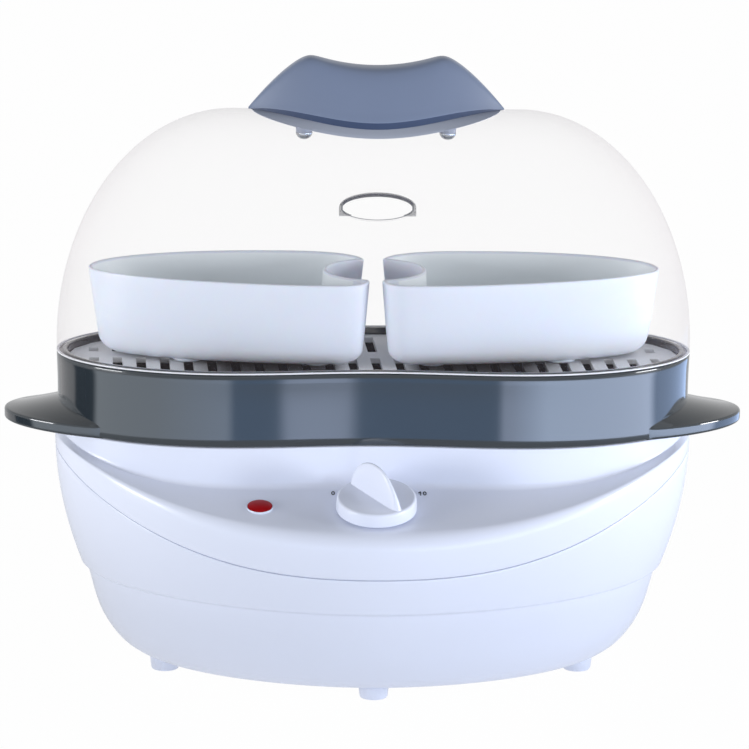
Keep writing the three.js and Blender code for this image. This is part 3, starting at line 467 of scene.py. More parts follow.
add_piece("water_basin_dish", "base", "basin_metal", metal, [(dish, False, True)], "water_basin")


def dress(material, *nodes):
    """Gives carried-over CAD nodes a material in each of their slots."""
    for name in nodes:
        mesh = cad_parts[name].data
        if not mesh.materials:
            mesh.materials.append(material)
        for k in range(len(mesh.materials)):
            mesh.materials[k] = material


dress(rubber, "basin_seal")

# Heater and wiring inside the housing: a bent tubular element held to the basin by two clamps, a boil-dry
# thermostat, a fuse and a terminal block, and the four screws that close the housing from below.
plated = moulded("plated_steel", (0.62, 0.63, 0.65), 0.22, spread=0.05, grain=1500.0, cloud=40.0, Metallic=1.0)
phenolic = moulded("dark_phenolic", (0.035, 0.035, 0.04), 0.5, spread=0.2, grain=1200.0)
ceramic = moulded("cream_ceramic", (0.66, 0.62, 0.50), 0.55, spread=0.05, grain=1000.0)
dress(plated, "heating_element", "element_clamp_left", "element_clamp_right", "switch_nut", "knob_shaft")
dress(plated, *(f"housing_screw_{k}" for k in range(1, 5)))
dress(phenolic, "thermostat", "rotary_switch")
dress(ceramic, "thermal_fuse", "terminal_block", "indicator_lamp")

# Control knob: a white moulded disc with an upright finger fin across it, pushed on the switch's steel shaft.
# It stands square to the sloping ledge, and its rest place turns the fin from back left to front right.
control_share, lamp_x = 0.45, 56.0
knob_radius, knob_low, knob_skirt, knob_turn = 19.48, 0.8, 7.0, -0.94
fin_height, fin_half_thick, fin_peak, fin_fall, fin_thin_share, fin_thin_height = 16.6, 2.5, -0.04, 2.3, 0.5, 10.0


def ledge_place(x, share):
    """The point of the front ledge at x, a share of the way out from the neck."""
    return ledge_point(np.array([[x, waist(x) - (end_depth - neck_inset)]]), share)[0]


def tilted(points, angle, place):
    """Points turned by an angle about the x axis and moved to a place."""
    c, s = math.cos(angle), math.sin(angle)
    x, y, z = np.moveaxis(points, -1, 0)
    return np.stack([x, c * y - s * z, s * y + c * z], -1) + place


control_place = ledge_place(0.0, control_share)
ledge_run = ledge_place(0.0, 0.6) - ledge_place(0.0, 0.2)
control_tilt = math.atan2(-ledge_run[2], -ledge_run[1])
knob_top = knob_low + knob_skirt
disc = turned([
    (0, knob_low), (knob_radius - 0.6, knob_low), (knob_radius - 0.1, knob_low + 0.4),
    (knob_radius, knob_low + 1.0), (knob_radius - 0.35, knob_top - 1.3), (knob_radius - 0.6, knob_top - 0.55),
    (knob_radius - 1.1, knob_top - 0.12), (knob_radius - 1.8, knob_top), (0, knob_top),
], 96)


def fin_surface():
    """The fin as a function of two parameters: along it, its crest climbs as a quarter ellipse to the peak and
    falls as a power curve to the pointer's end; across it, each section is a narrow arch with leaning sides."""
    along = np.sin(np.linspace(-np.pi / 2, np.pi / 2, 81))
    climb = np.sqrt(np.maximum(0, 1 - ((along - fin_peak) / (1 + fin_peak)) ** 2))
    fall = 1 - np.maximum(0, (along - fin_peak) / (1 - fin_peak)) ** fin_fall
    crest = np.where(along < fin_peak, climb, fall) * fin_height
    across = np.array([1.15, 1.0, 0.86, 0.72, 0.57, 0.42, 0.3, 0.16, 0])
    rise = np.array([0, 0.06, 0.3, 0.55, 0.78, 0.91, 0.965, 0.992, 1])
    across, rise = np.concatenate([across, -across[-2::-1]]), np.concatenate([rise, rise[-2::-1]])
    x = np.broadcast_to(along[:, None] * (knob_radius - 1.3), (len(along), len(across)))
    y = fin_half_thick * across[None] * np.minimum(1, fin_thin_share + crest[:, None] / fin_thin_height)
    z = knob_top - 0.3 + crest[:, None] * rise[None]
    c, s = math.cos(knob_turn), math.sin(knob_turn)
    return np.stack([c * x - s * y, s * x + c * y, z], -1)


knob_patches = [(tilted(points, control_tilt, control_place), False, True) for points in (disc, fin_surface())]
add_piece("control_knob_disc", "knob", "white_shell", white_plastic, knob_patches, "control_knob")

# Indicator: a domed red lens in a thin raised white rim, pressed into the ledge left of the knob. A neon lamp
# sits behind it.
lamp_place = ledge_place(-lamp_x, control_share)
lens_radius = 5.9
red = moulded(
    "red_lens_plastic", (0.36, 0.0, 0.003), 0.4, spread=0.2, grain=700.0, cloud=300.0, Specular_IOR_Level=0.15,
)
lens = turned([
    (0, -3.0), (4.2, -3.0), (4.2, 0.2), (lens_radius, 0.3), (lens_radius, 0.8), (lens_radius - 0.5, 1.1),
    (4.0, 1.5), (2.2, 1.8), (0, 1.9),
])
lens_rim = turned([(6.1, -0.6), (6.1, 0.45), (6.2, 0.6), (6.4, 0.6), (6.5, 0.4), (6.55, 0.1), (6.55, -0.6)])
lens, lens_rim = (tilted(points, control_tilt, lamp_place) for points in (lens, lens_rim))
add_piece("indicator_lens_dome", "base", "red_lens", red, [(lens, False, True)], "indicator_lens")
add_piece("indicator_rim", "base", "white_shell", white_plastic, [(lens_rim, True, True)])

# Dial marks: plain black numbers printed on the ledge behind the knob, 0 on its left and 10 on its right. Each
# stroke is a skin of ink a tenth of a millimetre thick.
mark_height, mark_half_width, mark_stroke, mark_share, mark_low, mark_top = 3.6, 0.9, 0.5, 0.12, -0.3, 0.1
ink = moulded("black_ink", (0.012, 0.012, 0.014), 0.5, spread=0.1)


def nought(x):
    """A flat oval ring about x: its outside and inside are ellipses one stroke apart."""
    angle = 2 * np.pi * np.arange(48) / 48
    rows = []
    for inset, z in ((0, mark_low), (0, mark_top), (mark_stroke, mark_top), (mark_stroke, mark_low)):
        across = x + (mark_half_width - inset) * np.cos(angle)
        along = (mark_height / 2 - inset) * np.sin(angle)
        rows.append(np.stack([across, along, np.full(48, z)], 1))
    return np.array(rows)


def stroke(x):
    """A flat upright bar at x with a short slanted flag at its upper left."""
    half, top = mark_stroke / 2, mark_height / 2
    edge = np.array([
        [half, -top], [half, top], [-half, top], [-1.05, top - 0.9], [-0.9, top - 1.3], [-half, top - 0.8],
        [-half, -top],
    ])
    flat = [np.hstack([x + edge[:, :1], edge[:, 1:], np.full((len(edge), 1), z)]) for z in (mark_low, mark_top)]
    return np.array([pole(x, 0, mark_low, len(edge)), *flat, pole(x, 0, mark_top, len(edge))])


for name, mark_x, marks in (
    ("dial_mark_0", -20.6, [(nought(0.0), True, True)]),
    ("dial_mark_10", 22.8, [(stroke(-1.0), False, True), (nought(1.0), True, True)]),
):
    mark_place = ledge_place(mark_x, mark_share)
    marks = [(tilted(points, control_tilt, mark_place), *meets) for points, *meets in marks]
    add_piece(name, "base", "dark_plastic", ink, marks)

# Steam ring: a deep blue-grey glossy moulding that sits on the housing's neck. Its top has a lip inside the
# cover's edge, a ledge for the rack and a spigot that centres it on the neck.
ring_bottom, ring_top, ring_wall, lip_inset, lip_inner, lip_top = 125.0, 161.0, 3.0, 2.8, 5.2, 162.0
rack_ledge_top, rack_ledge_inner, rack_ledge_thick = 155.5, 9.7, 2.4
spigot_inset, spigot_inner, spigot_low, spigot_high = 3.6, 5.6, 119.0, 132.0
slate = moulded(
    "blue_grey_gloss", (0.022, 0.030, 0.037), 0.10, spread=0.06, depth=0.000004, Coat_Weight=0.6,
    Coat_Roughness=0.05,
)
ring_profile = [
    (1.4, ring_bottom), (0.7, ring_bottom + 0.12), (0.2, ring_bottom + 0.5), (0, ring_bottom + 1.2),
    *[(0.35 * math.sin(math.pi * part), ring_bottom + 1.2 + (ring_top - ring_bottom - 2.2) * part)
      for part in np.linspace(0.1, 0.9, 9)],
    (0, ring_top - 1.0), (0.12, ring_top - 0.5), (0.45, ring_top - 0.12), (0.9, ring_top),
    (lip_inset - 0.1, ring_top), (lip_inset, ring_top + 0.1), (lip_inset, lip_top - 0.5),
    (lip_inset + 0.15, lip_top - 0.15), (lip_inset + 0.5, lip_top), (lip_inner - 0.5, lip_top),
    (lip_inner - 0.15, lip_top - 0.15), (lip_inner, lip_top - 0.5), (lip_inner, rack_ledge_top),
    (rack_ledge_inner - 0.3, rack_ledge_top), (rack_ledge_inner, rack_ledge_top - 0.3),
    (rack_ledge_inner, rack_ledge_top - rack_ledge_thick), (ring_wall, rack_ledge_top - rack_ledge_thick),
    (ring_wall, spigot_high), (spigot_inner, spigot_high), (spigot_inner, spigot_low + 0.4),
    (spigot_inner - 0.4, spigot_low), (spigot_inset + 0.4, spigot_low), (spigot_inset, spigot_low + 0.4),
    (spigot_inset, ring_bottom),
]
ring_patches = [(swept(ring_profile), True, True)]
add_piece("steam_ring_band", "tray", "grey_gloss", slate, ring_patches, "steam_ring", sharp=35.0)

# Side handles: a flat grip is moulded on each end of the ring. Its plan is a superellipse, its top rises
# towards the ring, and its thin edge is rounded.
grip_root, grip_length, grip_depth, length_power, depth_power = 133.6, 48.6, 36.0, 1.45, 2.05
grip_thick, grip_lift, grip_rise, grip_climb, grip_root_depth, grip_round = 5.5, 2.0, 5.0, 1.2, 1.6, 1.2


def grip_surface(side):
    """Half a superellipse in plan. At each angle, a section runs from the ring's wall out under the grip, round
    its edge and back over its top, which climbs to the wall."""
    angle = np.pi * (np.linspace(0, 1, 81) - 0.5)
    c, s = np.cos(angle), np.sin(angle)
    along = grip_length * np.abs(c) ** (2 / length_power)
    y = grip_depth * np.sign(s) * np.abs(s) ** (2 / depth_power)
    half = end_depth - grip_root_depth
    inner = end_centre + (reach - end_centre - grip_root_depth) * np.sqrt(1 - (y / half) ** 2)
    outer = grip_root + along
    width = np.maximum(outer - inner, 0.01)
    full_width = grip_root + grip_length - reach + grip_root_depth
    bottom = ring_bottom + grip_lift * along / grip_length
    rise = grip_rise * np.minimum(1, width / full_width)
    edge = np.minimum(grip_round, width / 4)
    edge_middle = outer - edge
    rows = [np.stack([inner, y, np.full_like(y, ring_bottom)], 1)]
    for start, middle in ((-np.pi / 2, edge), (0, grip_thick - edge)):
        for turn in np.linspace(start, start + np.pi / 2, 6):
            z = bottom + middle + edge * math.sin(turn)
            rows.append(np.stack([edge_middle + edge * math.cos(turn), y, z], 1))
    for share in np.linspace(0, 1, 14)[1:]:
        z = bottom + grip_thick + rise * share**grip_climb
        rows.append(np.stack([edge_middle - (width - edge) * share, y, z], 1))
    return np.array(rows) * np.array([side, 1, 1])


grips = [(grip_surface(side), True, False) for side in (1, -1)]
add_piece("ring_side_grips", "tray", "grey_gloss", slate, grips, sharp=50.0)

# Rack: a light grey moulded plate with two rows of slanted slots, dropped on the ring's ledge. Steam passes
# through its slots. Painted shade darkens its colour under the bowls; between and beside them it stays light.
painted_bowl_shadow_reach = 0.14
painted_bowl_shadow_stops = [(0.014, 1.0), (0.022, 0.08), (0.072, 0.05), (0.102, 0.95)]
rack_plastic = moulded("rack_grey_plastic", (0.96, 0.965, 0.98), 0.5, spread=0.03, Specular_IOR_Level=0.25)
tree = rack_plastic.node_tree
shader = tree.nodes["Principled BSDF"]
# Painted shade: a ramp over |x| multiplies the rack's colour, dark where the bowls' shadow falls.
parts = node(tree, "SeparateXYZ", s0=(node(tree, "TexCoord"), "Object"))
aside = node(tree, "Math", "ABSOLUTE", s0=(parts, "X"))
painted_bowl_shadow_ramp = node(tree, "ValToRGB", Fac=node(tree, "Math", "DIVIDE", s0=aside, s1=painted_bowl_shadow_reach))
for at, level in painted_bowl_shadow_stops:
    painted_bowl_shadow_ramp.color_ramp.elements.new(at / painted_bowl_shadow_reach).color = (level, level, level, 1)
painted_bowl_shadow_ramp.color_ramp.elements[0].color = (1, 1, 1, 1)
painted_bowl_shadow_mix = node(tree, "Mix", s0=1.0, s6=(shader.inputs["Base Color"].links[0].from_node, 2), s7=painted_bowl_shadow_ramp)
painted_bowl_shadow_mix.blend_type = "MULTIPLY"
fill(shader, {"Base Color": (painted_bowl_shadow_mix, 2)})
dress(rack_plastic, "steam_rack")

# Bowls: two thin milky plastic dishes that stand on the rack on small round feet. They meet at a narrow split,
# and each has half of a round finger notch. Painted light makes their insides lighter than their outsides,
# for the light that shines through the thin walls.
rack_top, bowl_bottom, bowl_top, bowl_setback, bowl_wall, bowl_floor = 158.4, 159.9, 202.0, 5.0, 2.0, 2.2
foot_low, foot_high = rack_top + 0.3, bowl_bottom + 1.1
bowl_end, split_half, bowl_centre, draft_end, draft_split = 140.8, 2.0, 70.4, 6.0, 2.4
front_depth, rear_depth, front_apex, rear_apex = 43.5, 38.2, 28.0, 55.0
bowl_edge, notch_radius, bowl_columns, bowl_lip = 8.0, 23.0, 300, 1.0
split_front, split_rear, end_front, end_rear = (5.0, 5.0), (3.0, 3.0), (1.4, 2.0), (2.05, 2.05)
quarter_powers = np.array([split_front, split_rear, end_front, end_rear])
milky = moulded(
    "milky_bowl_plastic", (0.80, 0.845, 0.94), 0.38, spread=0.012, Subsurface_Weight=0.15, Subsurface_Scale=0.004,
)
# Painted light: a lighter, bluer copy of the milky plastic for the bowls' insides, where light shines through.
painted_light_inside = moulded("milky_bowl_painted_light_inside", (0.92, 0.97, 1.0), 0.5, spread=0.012)


def bowl_ring(side, z, inset):
    """Outline of a bowl at a height: four quarters of superellipses about a front and a rear apex, the two at
    the split blunter, bitten by the notch's circle. The joined curve is spaced evenly by length, and its corners
    are rounded by a short running mean."""
    draft = (bowl_top - z) / (bowl_top - bowl_bottom)
    angle = 2 * np.pi * (np.arange(1600) + 0.5) / 1600
    c, s = np.cos(angle), np.sin(angle)
    at_end, at_rear = c > 0, s > 0
    length_power, depth_power = quarter_powers[2 * at_end + at_rear].T
    apex = np.where(at_rear, rear_apex, front_apex)
    end_length, split_length = bowl_end - apex - draft * draft_end, apex - split_half - draft * draft_split
    length = np.where(at_end, end_length, split_length) - inset
    depth = np.where(at_rear, rear_depth, front_depth) - draft * draft_end - inset
    x = apex + length * np.sign(c) * np.abs(c) ** (2 / length_power)
    y = bowl_setback + depth * np.sign(s) * np.abs(s) ** (2 / depth_power)
    bite = notch_radius + inset + draft_split * (draft + 0.15)
    kept = np.hypot(x, y) > bite
    first = np.argmin(kept)
    last = len(kept) - np.argmin(kept[::-1])
    arc = np.linspace(math.atan2(y[first - 1], x[first - 1]), math.atan2(y[last], x[last]), 200)
    around, arc = np.stack([x, y], 1), bite * np.stack([np.cos(arc), np.sin(arc)], 1)
    closed = np.concatenate([around[:first], arc, around[last:], around[:1]])
    run = np.concatenate([[0], np.cumsum(np.linalg.norm(np.diff(closed, axis=0), axis=1))])
    even = np.linspace(0, run[-1], bowl_columns, endpoint=False)
    flat = np.stack([np.interp(even, run, closed[:, k]) for k in (0, 1)], 1)
    for _ in range(3):
        flat = (np.roll(flat, 1, 0) + flat * 2 + np.roll(flat, -1, 0)) / 4
    flat[:, 0] *= side
    return np.hstack([flat, np.full((bowl_columns, 1), z)])


def bowl_surface(side):
    """Rows from the middle of the outside floor, round its edge, up the wall, over the rim and down inside."""
    outer_low, lip_low = bowl_bottom + bowl_edge, bowl_top - bowl_lip
    inner_floor, inner_edge = bowl_bottom + bowl_floor, bowl_edge - bowl_wall
    inner_low = inner_floor + inner_edge
    edge_turns, lip_turns = np.linspace(0, np.pi / 2, 10), np.linspace(0, np.pi, 9)[1:]
    profile = [(bowl_bottom + bowl_edge * (1 - math.cos(t)), bowl_edge * (1 - math.sin(t))) for t in edge_turns]
    profile += [(outer_low + (lip_low - outer_low) * share, 0) for share in np.linspace(0, 1, 10)[1:]]
    profile += [(lip_low + bowl_lip * math.sin(t), bowl_lip * (1 - math.cos(t))) for t in lip_turns]
    profile += [(lip_low + (inner_low - lip_low) * share, bowl_wall) for share in np.linspace(0, 1, 8)[1:]]
    profile += [
        (inner_floor + inner_edge * (1 - math.cos(t)), bowl_wall + inner_edge * (1 - math.sin(t)))
        for t in np.linspace(np.pi / 2, 0, 9)[1:]
    ]
    low, high = (pole(side * bowl_centre, bowl_setback, z, bowl_columns) for z in (bowl_bottom, inner_floor))
    return np.array([low, *(bowl_ring(side, z, inset) for z, inset in profile), high])


def faces_of(piece):
    """The normals of a piece's faces, and their middles in millimetres."""
    facings, middles = (np.empty(len(piece.data.polygons) * 3) for _ in range(2))
    piece.data.polygons.foreach_get("normal", facings)
    piece.data.polygons.foreach_get("center", middles)
    return facings.reshape(-1, 3), middles.reshape(-1, 3) * 1000


def repaint(piece, material, chosen):
    """Gives the chosen faces of a finished piece a second material."""
    piece.data.materials.append(material)
    piece.data.polygons.foreach_set("material_index", chosen.astype(np.int32))


bowl_foot = turned([
    (0, foot_low), (6.8, foot_low), (7.4, foot_low + 0.4), (7.5, foot_low + 0.9), (7.5, foot_high), (0, foot_high),
], 40)
foot_shares = [(-0.6, 0.5), (-0.6, -0.5), (0.4, 0.34), (0.3, -0.34)]
for side, name, body in ((-1, "bowl_left", "left_bowl"), (1, "bowl_right", "right_bowl")):
    feet = [
        (bowl_foot + np.array([side * bowl_centre * (1 + a), bowl_setback + front_depth * b, 0]), False, True)
        for a, b in foot_shares
    ]
    patches = [(bowl_surface(side), False, True), *feet]
    dish = add_piece(name + "_dish", body, "bowl_white", milky, patches, name, sharp=60.0)
    facings, middles = faces_of(dish)
    from_axis = middles[:, :2] - np.array([side * bowl_centre, bowl_setback])
    inner = ((facings[:, :2] * from_axis).sum(1) < 0) | (facings[:, 2] > 0.5)
    inner &= (middles[:, 2] > bowl_bottom + 2.0) & (middles[:, 2] < bowl_top - bowl_lip - 0.1)
    # The inner faces take the painted-light copy.
    repaint(dish, painted_light_inside, inner)

# Cover: one clear moulded shell. The shared outline shrinks along a quarter ellipse to a level crest, and a
# level oval vent is cut through the front under a small hood.
cover_bottom, cover_spring, cover_rise, cover_wall = 161.3, 164.7, 116.8, 2.5
vent_half_length, vent_half_height, vent_z, vent_block_half, vent_block_rows = 17.0, 5.4, 240.22, 25.5, 8
rise_angles = np.linspace(0, np.pi / 2, 49)
haze_power, haze_front, haze_edge = 1.7, 0.025, 0.27


def cover_point(flat, angle, inset):
    """Point of the cover above a point of the shared outline: the angle on the quarter ellipse sets the height
    by its sine, and shrinks the ends' length and all depths by its cosine."""
    x, y = flat[..., 0], flat[..., 1]
    beyond = np.sign(x) * np.maximum(0, np.abs(x) - end_centre)
    share = np.cos(angle)
    height = cover_spring + (cover_rise - inset) * np.sin(angle)
    return np.stack(np.broadcast_arrays(x - beyond + beyond * share, y * share, height), -1)


def cover_skin(inset):
    """The cover's skin at an inset: the shell below, beside and above a block of cells in front, and the block's
    cells drawn in to the vent's oval edge. Returns these patches, the oval and the foot."""
    flat = plan(inset)
    foot = np.hstack([flat, np.full((columns, 1), cover_bottom)])[None]
    grid = np.concatenate([foot, cover_point(flat[None], rise_angles[:, None], inset)])
    middle = columns - flank_steps // 2
    spread = int(round(vent_block_half / (2 * end_centre / flank_steps)))
    vent_angle = math.asin((vent_z - cover_spring) / cover_rise)
    centre_row = int(round(vent_angle / rise_angles[1])) + 1
    low_row, high_row = centre_row - vent_block_rows // 2 - 1, centre_row + vent_block_rows // 2 - 1
    columns_in = np.arange(middle - spread, middle + spread + 1)
    edge = [(low_row, c) for c in columns_in[:-1]] + [(r, columns_in[-1]) for r in range(low_row, high_row)]
    edge += [(high_row, c) for c in columns_in[:0:-1]] + [(r, columns_in[0]) for r in range(high_row, low_row, -1)]
    edge = np.array(edge)
    edge_x, edge_angle = flat[edge[:, 1], 0], rise_angles[edge[:, 0] - 1]
    edge_z = cover_spring + cover_rise * np.sin(edge_angle)
    bearing = np.arctan2((edge_z - vent_z) / vent_half_height, edge_x / vent_half_length)
    oval_x, oval_z = vent_half_length * np.cos(bearing), vent_z + vent_half_height * np.sin(bearing)
    oval_angle = np.arcsin((oval_z - cover_spring) / cover_rise)
    share = np.linspace(0, 1, 9)[:, None]
    patch_x = edge_x + (oval_x - edge_x) * share
    patch_angle = edge_angle + (oval_angle - edge_angle) * share
    patch_y = -(end_depth - inset - waist(patch_x))
    patch = cover_point(np.stack([patch_x, patch_y], -1), patch_angle, inset)
    order = np.arange(columns_in[-1], columns_in[0] + columns + 1) % columns
    beside = grid[low_row:high_row + 1][:, order]
    shell = [(grid[:low_row + 1], False, True), (beside, False, False), (grid[high_row:], False, True)]
    return [*shell, (patch, False, True)], patch[-1], foot[0]


outside, outer_oval, outer_foot = cover_skin(0.0)
inside, inner_oval, inner_foot = cover_skin(cover_wall)
clear = bpy.data.materials.new("clear_cover_plastic")
clear.use_nodes = True
tree = clear.node_tree
slow = node(tree, "TexNoise", Vector=(node(tree, "TexCoord"), "Object"), Scale=9.0)
gloss = node(tree, "MapRange", Value=slow, To_Min=0.04, To_Max=0.07)
tint = node(tree, "Mix", s0=slow, s6=(0.60, 0.51, 0.53, 1), s7=(0.64, 0.54, 0.56, 1))
curve = node(tree, "Math", "POWER", s0=(node(tree, "LayerWeight", Blend=0.5), "Facing"), s1=haze_power)
haze = node(tree, "MapRange", Value=curve, To_Min=haze_front, To_Max=haze_edge)
fill(tree.nodes["Principled BSDF"], {"Base Color": (tint, 2), "Roughness": gloss, "Alpha": haze})
inner_clear = moulded("clear_cover_inside", (0.55, 0.5, 0.5), 0.1, spread=0.02, Alpha=0.01)
vent_wall, foot_wall = np.array([outer_oval, inner_oval]), np.array([outer_foot, inner_foot])
patches = [*outside, *inside, (vent_wall, False, True), (foot_wall, False, True)]
cover = add_piece("dome_cover_shell", "cover", "clear_cover", clear, patches, "dome_cover", sharp=50.0)
facings, middles = faces_of(cover)
repaint(cover, inner_clear, (facings * (middles - np.array([0, 0, cover_spring]))).sum(1) < 0)

# Vent edge: a narrow loop along the cut edge of the cover round the vent. The cut looks grey, because light
# leaves the sheet there.
vent_grey = moulded("vent_edge_grey", (0.20, 0.21, 0.23), 0.3, spread=0.05)
edge_rows = [
    outer_oval + np.array([0, dy, 0]) + (outer_oval - outer_oval.mean(0)) * share
    for dy, share in ((-0.15, 0.0), (-0.15, 0.035), (0.5, 0.035), (0.5, 0.0))
]
add_piece("vent_cut_edge", "cover", "clear_cover", vent_grey, [(np.array(edge_rows), True, True)])

# Cover foot: the moulded edge of the cover, thicker and milky. It shows as a thin bright line where the cover
# stands on the ring.
foot_milk = moulded("cover_foot_edge", (0.88, 0.88, 0.9), 0.25, spread=0.02)
line_low, line_top = 161.34, 161.95
foot_line = swept([
    (-0.06, line_low), (-0.06, line_top - 0.15), (0.1, line_top), (1.0, line_top), (1.2, line_top - 0.15),
    (1.2, line_low),
])
add_piece("cover_foot_edge", "cover", "clear_cover", foot_milk, [(foot_line, True, True)])

# Vent hood: a low arch moulded on the cover over the upper half of the vent, with a straight leg at each end.
# It throws the steam forward, away from the handle.
hood_wall, hood_reach, hood_skirt, hood_gap, web_gap, painted_shade_height = 1.5, 3.4, 3.7, 0.3, 0.2, 1.5
hood_half_x, hood_half_y = vent_half_length + hood_wall / 2, vent_half_height + hood_wall / 2 + hood_gap
vent_sine = (vent_z - cover_spring) / cover_rise
vent_cosine = math.sqrt(1 - vent_sine**2)
vent_tilt = math.atan2(cover_rise * vent_cosine, (end_depth - waist_dip) * vent_sine)
vent_place = np.array([0, -(end_depth - waist_dip) * vent_cosine, vent_z])


def with_ends(rows):
    """The rows with one more at each end, all of it at the end row's middle, which closes the surface."""
    ends = [np.broadcast_to(rows[k].mean(0), rows[k].shape)[None] for k in (0, -1)]
    return np.concatenate([ends[0], rows, ends[1]])


def hood_surface():
    """The arch's path runs up one leg, over half an oval and down the other leg. A rounded bar section is
    carried along it: out from the cover, across its front and back inside."""
    turn = np.linspace(0, np.pi, 41)
    leg = np.linspace(-hood_skirt, 0, 6)[:-1]
    path_x = hood_half_x * np.concatenate([np.ones(5), np.cos(turn), -np.ones(5)])
    path_y = np.concatenate([leg, hood_half_y * np.sin(turn), leg[::-1]])
    out_x = np.concatenate([np.ones(5), np.cos(turn), -np.ones(5)])
    out_y = np.concatenate([np.zeros(5), np.sin(turn), np.zeros(5)])
    across = np.array([1, 1, 0.8, 0.3, -0.3, -0.8, -1, -1]) * hood_wall / 2
    reach_out = np.array([-0.6, 0.85, 0.97, 1, 1, 0.97, 0.85, -0.6]) * hood_reach
    spread = np.broadcast_to(across, (len(path_x), len(across))).copy()
    web = np.abs(path_x) - vent_half_length * np.sqrt(1 - (np.minimum(path_y, 0) / vent_half_height) ** 2) - web_gap
    on_leg = path_y < -0.1
    spread[np.ix_(on_leg, across < 0)] *= (web[on_leg] / (hood_wall / 2))[:, None]
    x = path_x[:, None] + out_x[:, None] * spread
    y = path_y[:, None] + out_y[:, None] * spread
    z = np.broadcast_to(reach_out, x.shape)
    return with_ends(tilted(np.stack([x, y, z], -1), vent_tilt, vent_place))


# Painted shade: the clear hood is a see-through grey for the shade at its edges; under the arch, darker still.
hood_painted_grey = moulded("hood_edge_painted_grey", (0.10, 0.105, 0.12), 0.2, spread=0.05, Alpha=0.40)
hood_painted_shade = moulded("hood_painted_shade", (0.06, 0.06, 0.085), 0.2, spread=0.05, Alpha=0.72)
hood = add_piece(
    "vent_hood_arch", "cover", "clear_cover", hood_painted_grey, [(hood_surface(), False, True)], sharp=50.0,
)
# The faces inside the arch, above the painted shade height, take the darker painted shade.
away = faces_of(hood)[1] - vent_place
rise = math.cos(vent_tilt) * away[:, 1] + math.sin(vent_tilt) * away[:, 2]
repaint(hood, hood_painted_shade, (rise > painted_shade_height) & ((away[:, 0] / hood_half_x) ** 2 + (rise / hood_half_y) ** 2 < 1))

# Cover handle: a blue-grey moulded grip, pointed at both ends, with two peaks and a saddle between them. Its
# foot band is fitted to the cover, and two screws hold it from below.
handle_reach, handle_depth, handle_tip_depth = 62.2, 17.0, 1.0
handle_peak, peak_top, middle_top, tip_top, handle_band = 32.0, 308.3, 302.7, 282.3, 3.4
handle_gap, shoulder_power = 0.3, 1.42
grey_blue = moulded(
    "handle_blue_grey", (0.168, 0.212, 0.318), 0.38, spread=0.05, depth=0.00001, Coat_Weight=0.1,
    Coat_Roughness=0.05,
)
# Painted shade: the handle's foot band is coloured dark navy for the shade under the grip's body.
band_painted_shade = moulded("handle_foot_painted_shade", (0.028, 0.05, 0.115), 0.4, spread=0.05, depth=0.00001)


def on_cover(x, y, gap):
    """Points a gap above the cover's outside at x and y, near its crest, where it is a quarter ellipse over y."""
    across = y / (end_depth - waist(x))
    return np.stack([x, y, cover_spring + cover_rise * np.sqrt(np.maximum(0, 1 - across**2)) + gap], 1)


def handle_foot(x):
    """Half depth of the handle's foot at x, which follows a parabola, and the height where its band ends."""
    out = np.abs(x) / handle_reach
    half = handle_tip_depth + (handle_depth - handle_tip_depth) * (1 - out**2)
    return half, on_cover(x, half, handle_gap)[:, 2] + (handle_band - handle_gap) * (1 - out**4)


def handle_surface():
    """Along the handle, its crest is a parabola between the peaks and a power curve out to the tips, joined by
    a short running mean. Each section climbs its leaning sides from the foot band to a narrow rounded top, and
    its base follows the cover."""
    x = handle_reach * np.sin(np.linspace(-np.pi / 2, np.pi / 2, 121))
    out = np.abs(x)
    saddle = middle_top + (peak_top - middle_top) * (out / handle_peak) ** 2
    share = np.clip((handle_reach - out) / (handle_reach - handle_peak), 0, 1)
    shoulder = tip_top + (peak_top - tip_top) * (1 - (1 - share) ** shoulder_power)
    top = np.where(out < handle_peak, saddle, shoulder)
    for _ in range(6):
        top[1:-1] = (top[:-2] + 2 * top[1:-1] + top[2:]) / 4
    half, band = handle_foot(x)
    low = on_cover(x, half, handle_gap)[:, 2]
    tall = np.maximum(top - band, 0.05)
    width_shares = [1, 1, 0.985, 0.94, 0.9, 0.83, 0.7, 0.58, 0.44, 0.24, 0]
    rise_shares = [0, 0.02, 0.06, 0.15, 0.25, 0.42, 0.72, 0.89, 0.965, 0.995, 1]
    profile = through(np.stack([width_shares, rise_shares], 1), 31)
    side = [np.stack([x, half, low + (band - low) * part], 1) for part in (0.0, 0.2, 0.6, 0.9)]
    side += [np.stack([x, half * w, band + tall * h], 1) for w, h in profile]
    other = [row * np.array([1, -1, 1]) for row in side[-2::-1]]
    base = [on_cover(x, half * part, handle_gap) for part in np.linspace(-1, 1, 12)[1:-1]]
    return with_ends(np.array(side + other + base).swapaxes(0, 1)).swapaxes(0, 1)


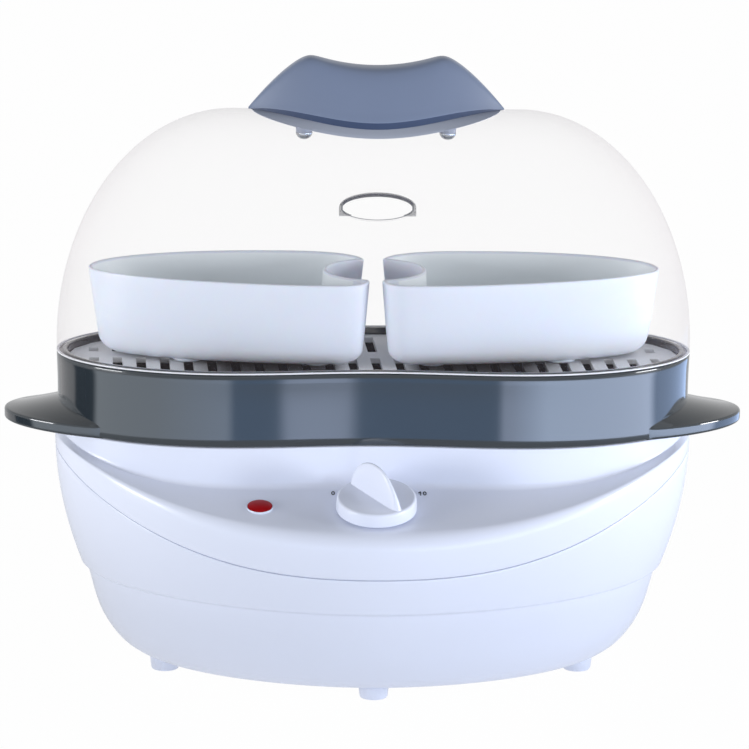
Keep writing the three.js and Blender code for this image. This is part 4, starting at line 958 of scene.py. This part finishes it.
grip = [(handle_surface(), True, False)]
handle = add_piece("cover_handle_grip", "cover", "handle_blue", grey_blue, grip, "cover_handle")
middles = faces_of(handle)[1]
repaint(handle, band_painted_shade, middles[:, 2] < handle_foot(middles[:, 0])[1] - 0.05)

# Handle pad: a thin smoke-grey sheet between handle and cover, wider than the handle's foot, painted as the
# handle's shadow and reflection on the cover. It follows the cover's curve and tapers to both tips.
smoke_and_painted_shadow = moulded("handle_pad_grey_and_painted_shadow", (0.36, 0.39, 0.47), 0.3, spread=0.04)
pad_depth, pad_reach, pad_power, pad_thick, pad_gap = 20.6, 60.5, 0.42, 0.25, 0.05


def pad_surface():
    """A strip over the cover: its half depth is a low power of a parabola along x, and each section is a flat
    loop that lies a pad's thickness above the cover."""
    x = pad_reach * np.sin(np.linspace(-np.pi / 2, np.pi / 2, 61))
    half = np.maximum(pad_depth * (1 - (x / pad_reach) ** 2) ** pad_power, 0.3)
    rows = np.array([
        on_cover(x, half * part, gap)
        for gap, way in ((pad_thick, 1), (pad_gap, -1)) for part in np.linspace(-way, way, 31)
    ])
    return with_ends(rows.swapaxes(0, 1)).swapaxes(0, 1)


add_piece("handle_painted_shadow_pad", "cover", "clear_cover", smoke_and_painted_shadow, [(pad_surface(), True, False)], sharp=50.0)

# Handle screws: two plated screws with low round heads, driven from inside the cover through washers and short
# moulded bosses into the handle.
screw_x, boss_height = 35.0, 7.6
washer_top = float(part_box("handle_washer_left")[1][2]) * 1000
head_top = washer_top - boss_height
boss = turned([(0, washer_top - 0.4), (4.6, washer_top - 0.4), (3.9, head_top + 0.05), (0, head_top + 0.05)], 48)
head = turned([
    (0, head_top - 3.4), (1.0, head_top - 3.35), (2.0, head_top - 3.05), (3.1, head_top - 2.3),
    (3.85, head_top - 1.2), (4.1, head_top - 0.2), (4.1, head_top), (2.0, head_top),
    (2.0, washer_top + 6.0), (0, washer_top + 6.0),
], 48)
for side, name in ((-1, "left"), (1, "right")):
    screw, seat = ([(points + np.array([side * screw_x, 0, 0]), False, True)] for points in (head, boss))
    add_piece("handle_screw_head_" + name, "cover", "steel", plated, screw, "handle_screw_" + name)
    add_piece("handle_screw_boss_" + name, "cover", "clear_cover", smoke_and_painted_shadow, seat)
dress(plated, "handle_washer_left", "handle_washer_right")
